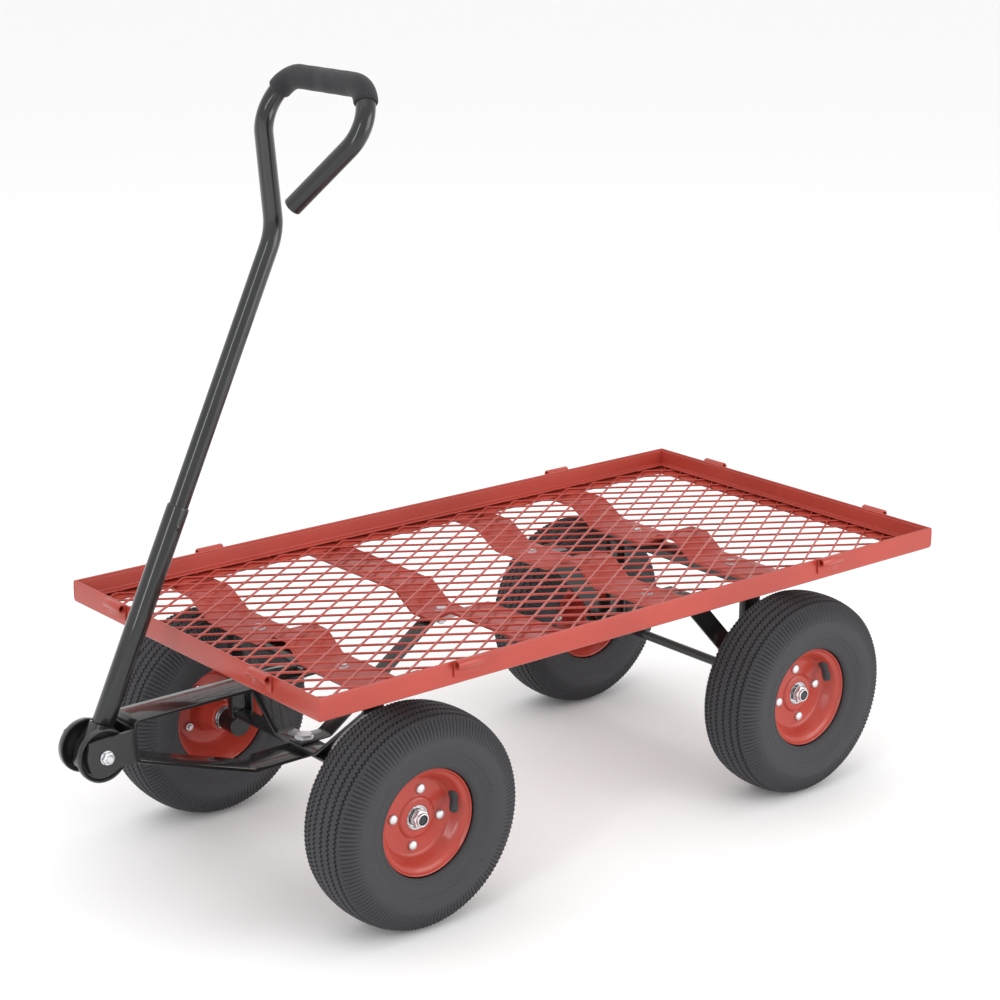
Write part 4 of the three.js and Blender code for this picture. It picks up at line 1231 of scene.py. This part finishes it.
def tyre_rows():
    """Rows across the tyre, in millimetres: from the middle, radius, zigzag swing, notch depth."""
    sizes = bpy.context.scene.cart_sizes
    depth = sizes.tread_depth / MM
    rows = [(0, crown(0), 1, 0), (2.4, crown(2.4), 1, 0)]
    for middle_x in (6.2, 17.2, 27.0):
        for offset, sunk in ((-1.5, 0), (-0.9, 1), (0.9, 1), (1.5, 0)):
            x = middle_x + offset
            rows.append((x, crown(x) - depth * sunk, 1, 0))
        between = middle_x + 4.6
        rows.append((between, crown(between), 0.8, 0))
    shoulder = [(32.4, 124.0, 0.5), (34.2, 122.6, 1.0), (36.6, 119.8, 1.0), (38.8, 116.0, 0.95)]
    shoulder += [(40.5, 111.6, 0.8), (41.7, 107.2, 0.6), (42.3, 103.2, 0.35), (42.6, 100.4, 0.1)]
    shoulder += [(42.7, 99.0, 0.0)]
    rows += [(x, radius, 0.0, notch) for x, radius, notch in shoulder]
    edge = [(42.7, 99.0), (42.6, 93), (41.6, 87), (40.0, 81.6), (39.4, 80.2), (39.6, 79.4), (38.8, 78.2)]
    edge += [(37.2, 74.4), (36.0, 71.0), (35.6, 69.6), (36.0, 68.9), (35.2, 67.6), (33.6, 65.6)]
    edge += [(31.4, 64.2), (29.6, 64.4)]
    sidewall = smooth_line(edge, 2)
    rows += [(x, radius, 0, 0) for x, radius in sidewall[1:]]
    return rows


def tyre_mesh():
    sizes = bpy.context.scene.cart_sizes
    rows = tyre_rows()
    right = [(-x, radius, swing, block) for x, radius, swing, block in reversed(rows[1:])]
    casing = [(24, 67.4), (34, 97), (30, 112), (0, 121), (-30, 112), (-34, 97), (-24, 67.4)]
    section = right + rows + [(x, radius, 0, 0) for x, radius in casing]
    swing_width = sizes.tread_swing / MM
    columns = sizes.tread_blocks * 4
    zigzag = (0, 1, 0, -1)
    notched = (1.0, 0.22, 0.0, 0.22)
    notch_depth = sizes.notch_depth / MM
    count = len(section)
    outwards = []
    for i in range(count):
        before, after = Vector(section[i - 1][:2]), Vector(section[(i + 1) % count][:2])
        along = (after - before).normalized()
        outwards.append(Vector((-along.y, along.x)))
    points = []
    for k in range(columns):
        angle = FULL_TURN * k / columns
        up, round_ = math.cos(angle), math.sin(angle)
        for (x, radius, swing, notch), out in zip(section, outwards):
            sunk = notch_depth * notch * notched[k % 4]
            wide = x + swing * swing_width * zigzag[k % 4] - out.x * sunk
            reach = radius - out.y * sunk
            points.append((wide * MM, -reach * round_ * MM, reach * up * MM))
    shape = Shape().add([Vector(point) for point in points], skin(columns, count))
    add_sidewall_marks(shape)
    return make_mesh("tyre", shape, 42)


def add_sidewall_marks(shape):
    """Small mould nubs and thin raised arcs on both sidewalls. They spell nothing."""
    nub = [(0, 0), (1.3, 0), (1.1, 0.7), (0.5, 0.9), (0, 0.95)]
    for way in (-1, 1):
        for k in range(6):
            angle = FULL_TURN * (k + 0.3) / 6
            out = Vector((0, math.cos(angle), math.sin(angle)))
            spot = out * 89 * MM + X * way * 41.8 * MM
            lathe(shape, nub, spot, X * way, 12)
        for k in range(3):
            start = FULL_TURN * k / 3 + 0.2
            line = []
            for step in range(25):
                angle = start + 0.9 * step / 24
                out = Vector((0, math.cos(angle), math.sin(angle)))
                line.append((out * 84.5 * MM + X * way * 40.8 * MM, X, out))
            sweep(shape, line, round_bar(0.55 * MM, 8))


def rim_mesh():
    """Two pressed halves with rolled lips, a flat centre, and the hub tube through it."""
    outer_face = [(14.6, 5.0), (14.6, 10.0), (15.1, 10.5), (20.6, 10.5), (22.4, 10.2), (23.8, 9.2)]
    outer_face += [(25.0, 7.9), (26.6, 7.5), (42.0, 7.5), (44.5, 7.8), (46.4, 8.9), (47.8, 11.0)]
    outer_face += [(51.2, 17.4), (54.4, 22.4), (56.2, 24.0), (58.8, 25.2), (60.2, 26.2), (60.9, 27.4)]
    outer_face += [(61.6, 28.6), (62.6, 29.0), (63.4, 28.5), (63.7, 27.4), (63.3, 26.2), (62.0, 25.2)]
    outer_face += [(60.0, 23.4), (54.0, 14.5), (51.0, 9.0), (50.0, 4.0)]
    inner_face = [(50.0, -1.0), (52.0, -7.5), (57.0, -17.0), (61.0, -24.0), (62.6, -25.4), (63.4, -26.4)]
    inner_face += [(63.7, -27.6), (63.3, -28.6), (62.4, -29.0), (61.4, -28.5), (60.4, -26.8)]
    inner_face += [(58.6, -24.6), (55.0, -18.5), (50.0, -8.0), (47.8, -3.0), (46.0, 0.6), (44.0, 2.2)]
    inner_face += [(41.0, 2.5), (30.5, 2.5), (28.0, 1.6), (26.0, -0.6), (23.6, -6.0), (21.2, -14.0)]
    inner_face += [(19.6, -22.0), (19.0, -34.0), (18.4, -37.2), (17.6, -38.0), (15.1, -38.0)]
    inner_face += [(14.6, -37.5), (14.6, -33.0), (9.0, -33.0), (9.0, 5.0)]
    return make_mesh("rim", lathe(Shape(), outer_face + inner_face, Vector((0, 0, 0)), X, 96), 32)


def rim_bolt_mesh():
    """Four bolts through the pressed halves, with washers, and nuts on the inner side."""
    shape = Shape()
    for k in range(4):
        angle = FULL_TURN * k / 4
        out = Vector((0, math.sin(angle), math.cos(angle))) * 33.5 * MM
        face = out + X * 7.5 * MM
        dome = [(0, 0.1), (6.0, 0.1), (6.0, 1.6), (5.6, 2.6), (4.4, 3.5), (2.6, 4.1), (1.2, 4.3), (0, 4.3)]
        lathe(shape, dome, face, X, 28)
        back = out + X * 2.5 * MM
        hexagon(shape, back, -X, 4.8 * MM, 4.2 * MM, 0, 0.4 + k)
        threaded(shape, back - X * 4 * MM, -X, 3 * MM, 2.4 * MM, 1 * MM)
    return make_mesh("rim_bolts", shape, 32)


def bearing_mesh():
    """Both bearings: an outer ring, a dark gap's step and an inner ring."""
    shape = Shape()
    ring = [(6.9, 0), (9.0, 0), (9.2, -0.9), (12.0, -0.9), (12.2, 0), (14.4, 0), (14.5, -0.2)]
    ring += [(14.5, -4.2), (6.9, -4.2)]
    for face, way in ((10.1, 1), (-37.6, -1)):
        lathe(shape, ring, X * face * MM, X * way, 48)
    return make_mesh("bearings", shape, 32)


def valve_mesh():
    """A rubber valve stem with its cap, standing in the dish."""
    shape = Shape()
    foot = Vector((15.0, 44.5, 25.0)) * MM
    axis = Vector((14.0, -9.0, -15.0)).normalized()
    stem = [(0, -4), (6.2, -4), (6.2, 0.4), (5.4, 1.6), (4.8, 3.2), (4.4, 6), (4.2, 9), (4.2, 10.4)]
    stem += [(4.7, 10.6), (4.7, 20.6), (4.3, 21.6), (2.0, 22.0), (0, 22.0)]
    lathe(shape, stem, foot, axis, 28)
    ridge = flat_bar(0.9 * MM, 0.7 * MM, 0.2 * MM)
    for k in range(8):
        angle = FULL_TURN * k / 8
        first = axis.orthogonal().normalized()
        out = first * math.cos(angle) + axis.cross(first) * math.sin(angle)
        base = foot + out * 4.6 * MM
        straight(shape, base + axis * 12 * MM, base + axis * 20 * MM, out, ridge)
    return make_mesh("valve", shape, 32)


def add_wheels():
    parts = (
        ("tyre", tyre_mesh(), "tyre_rubber"),
        ("rim", rim_mesh(), "red_powder_coat"),
        ("rim_bolts", rim_bolt_mesh(), "zinc_plate"),
        ("bearings", bearing_mesh(), "bearing_steel"),
        ("valve", valve_mesh(), "tyre_rubber"),
    )
    for wheel in WHEELS:
        centre = middle(f"{wheel}_wheel_tyre")
        facing = 0 if "left" in wheel else math.pi
        matrix = Matrix.Translation(centre) @ Matrix.Rotation(facing, 4, "Z")
        spun = matrix @ Matrix.Rotation(math.radians(SPIN[wheel]), 4, "X")
        for part, mesh, finish in parts:
            node = f"{wheel}_wheel_{part}"
            stands_for = [node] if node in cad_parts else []
            turn = matrix if part == "tyre" else spun
            place(f"{wheel}_{part}", mesh, finish, f"{wheel}_wheel", stands_for, turn)


# ---- Stage ----


def add_floor(settings):
    mesh = bpy.data.meshes.new("floor")
    reach = 40.0
    corners = [(-reach, -reach, 0), (reach, -reach, 0), (reach, reach, 0), (-reach, reach, 0)]
    mesh.from_pydata(corners, [], [(0, 1, 2, 3)])
    floor = bpy.data.objects.new("floor", mesh)
    bpy.context.scene.collection.objects.link(floor)
    finish = Finish("plain_floor", {"Roughness": 0.9, "Specular IOR Level": 0.1})
    finish.feed("Base Color", (*settings.floor, 1))
    mesh.materials.append(finish.material)
    floor.location.z = -0.3 * MM


def add_area(name, place_at, target, size, size_y, power, tint=(1, 1, 1)):
    light = bpy.data.lights.new(name, "AREA")
    light.shape = "RECTANGLE"
    light.size = size
    light.size_y = size_y
    light.energy = power
    light.color = tint
    made = bpy.data.objects.new(name, light)
    bpy.context.scene.collection.objects.link(made)
    made.location = place_at
    made.rotation_euler = (Vector(target) - Vector(place_at)).to_track_quat("-Z", "Y").to_euler()
    return made


def add_camera(settings):
    turn, tilt, roll = settings.camera_turn, settings.camera_tilt, settings.camera_roll
    back = Vector((math.sin(turn) * math.cos(tilt), -math.cos(turn) * math.cos(tilt), math.sin(tilt)))
    right = Z.cross(back).normalized()
    up = back.cross(right)
    rolled_right = right * math.cos(roll) + up * math.sin(roll)
    rolled_up = up * math.cos(roll) - right * math.sin(roll)
    camera = bpy.data.cameras.new("camera")
    camera.lens = settings.camera_lens
    camera.sensor_width = 36
    camera.clip_end = 200
    made = bpy.data.objects.new("camera", camera)
    bpy.context.scene.collection.objects.link(made)
    axes = Matrix((rolled_right, rolled_up, back)).transposed().to_4x4()
    made.matrix_world = Matrix.Translation(Vector(settings.camera_place)) @ axes
    bpy.context.scene.camera = made


# ---- Operators ----


class CartOperator:
    bl_options = {"REGISTER", "UNDO"}


class CART_OT_finishes(CartOperator, bpy.types.Operator):
    """Make the paints, the rubber, the foam and the metals"""

    bl_idname = "cart.finishes"
    bl_label = "Finishes"

    def execute(self, context):
        colours = context.scene.cart_colours
        for make in (finish_red, finish_black, finish_rubber, finish_foam, finish_zinc, finish_steel):
            make(colours)
        return {"FINISHED"}


class CART_OT_deck(CartOperator, bpy.types.Operator):
    """Build the rails, the clamp angle and the expanded mesh"""

    bl_idname = "cart.deck"
    bl_label = "Deck"

    def execute(self, context):
        for name in ("rail_left", "rail_right", "rail_front", "rail_rear"):
            add_rail(name)
        add_corner_welds()
        add_clamp_frame()
        add_deck_mesh()
        return {"FINISHED"}


class CART_OT_straps(CartOperator, bpy.types.Operator):
    """Build the cross straps and their bolts"""

    bl_idname = "cart.straps"
    bl_label = "Cross straps"

    def execute(self, context):
        add_straps()
        add_strap_bolts()
        return {"FINISHED"}


class CART_OT_loops(CartOperator, bpy.types.Operator):
    """Build the rolled loops on the rails"""

    bl_idname = "cart.loops"
    bl_label = "Panel loops"

    def execute(self, context):
        add_panel_loops()
        return {"FINISHED"}


class CART_OT_front_frame(CartOperator, bpy.types.Operator):
    """Build the front bolster, its stay and the kingpins"""

    bl_idname = "cart.front_frame"
    bl_label = "Front frame"

    def execute(self, context):
        add_front_bolster()
        add_centre_brace()
        add_kingpins()
        return {"FINISHED"}


class CART_OT_rear_frame(CartOperator, bpy.types.Operator):
    """Build the rear cross channel, uprights, stays and axle"""

    bl_idname = "cart.rear_frame"
    bl_label = "Rear frame"

    def execute(self, context):
        add_rear_frame()
        add_rear_axle()
        return {"FINISHED"}


class CART_OT_steering(CartOperator, bpy.types.Operator):
    """Build the steered beam, the stub axles, the drawbar and its clevis"""

    bl_idname = "cart.steering"
    bl_label = "Steering"

    def execute(self, context):
        add_front_axle()
        add_nuts()
        add_drawbar()
        add_clevis()
        return {"FINISHED"}


class CART_OT_handle(CartOperator, bpy.types.Operator):
    """Build the yoke, the tubes, the pivot pin and the foam grip"""

    bl_idname = "cart.handle"
    bl_label = "Handle"

    def execute(self, context):
        add_yoke()
        add_pivot()
        add_sleeve()
        add_tube()
        add_grip()
        return {"FINISHED"}


class CART_OT_wheels(CartOperator, bpy.types.Operator):
    """Build the four wheels: tyres, rims, bolts, bearings and valves"""

    bl_idname = "cart.wheels"
    bl_label = "Wheels"

    def execute(self, context):
        add_wheels()
        return {"FINISHED"}


class CART_OT_stage(CartOperator, bpy.types.Operator):
    """Build the floor, the soft lights and the camera"""

    bl_idname = "cart.stage"
    bl_label = "Stage"

    def execute(self, context):
        settings = context.scene.cart_stage
        add_camera(settings)
        add_floor(settings)
        target = (0, 0, 0.3)
        add_area("key_light", (-0.6, -0.4, 3.4), target, 3.6, 3.6, settings.key)
        add_area("strip_light", (1.5, -3.4, 1.7), target, 0.45, 2.4, settings.strip, (0.95, 0.97, 1))
        add_area("side_light", (3.2, 1.6, 1.2), target, 2.4, 2.2, settings.side)
        world = bpy.data.worlds.new("sky")
        world.use_nodes = True
        context.scene.world = world
        sky = next(node for node in world.node_tree.nodes if node.type == "BACKGROUND")
        sky.inputs["Color"].default_value = (1, 1, 1, 1)
        sky.inputs["Strength"].default_value = settings.sky
        context.scene.view_settings.view_transform = "Standard"
        context.scene.view_settings.look = "None"
        return {"FINISHED"}


OPERATORS = (
    CART_OT_finishes,
    CART_OT_deck,
    CART_OT_straps,
    CART_OT_loops,
    CART_OT_front_frame,
    CART_OT_rear_frame,
    CART_OT_steering,
    CART_OT_handle,
    CART_OT_wheels,
    CART_OT_stage,
)


class VIEW3D_PT_cart(bpy.types.Panel):
    """Lists the settings and the build steps"""

    bl_label = "Garden cart"
    bl_category = "Garden cart"
    bl_space_type = "VIEW_3D"
    bl_region_type = "UI"

    def draw(self, context):
        scene = context.scene
        for group in (scene.cart_sizes, scene.cart_colours, scene.cart_stage):
            column = self.layout.column(align=True)
            for name in group.__annotations__:
                column.prop(group, name)
        for operator in OPERATORS:
            self.layout.operator(operator.bl_idname)


CLASSES = (CartSizes, CartColours, StageSettings, *OPERATORS, VIEW3D_PT_cart)


def register():
    for cls in CLASSES:
        bpy.utils.register_class(cls)
    bpy.types.Scene.cart_sizes = PointerProperty(type=CartSizes)
    bpy.types.Scene.cart_colours = PointerProperty(type=CartColours)
    bpy.types.Scene.cart_stage = PointerProperty(type=StageSettings)


def unregister():
    del bpy.types.Scene.cart_stage
    del bpy.types.Scene.cart_colours
    del bpy.types.Scene.cart_sizes
    for cls in reversed(CLASSES):
        bpy.utils.unregister_class(cls)


def main():
    register()
    for operator in OPERATORS:
        getattr(bpy.ops.cart, operator.bl_idname.split(".")[1])()


if __name__ == "__main__":
    main()
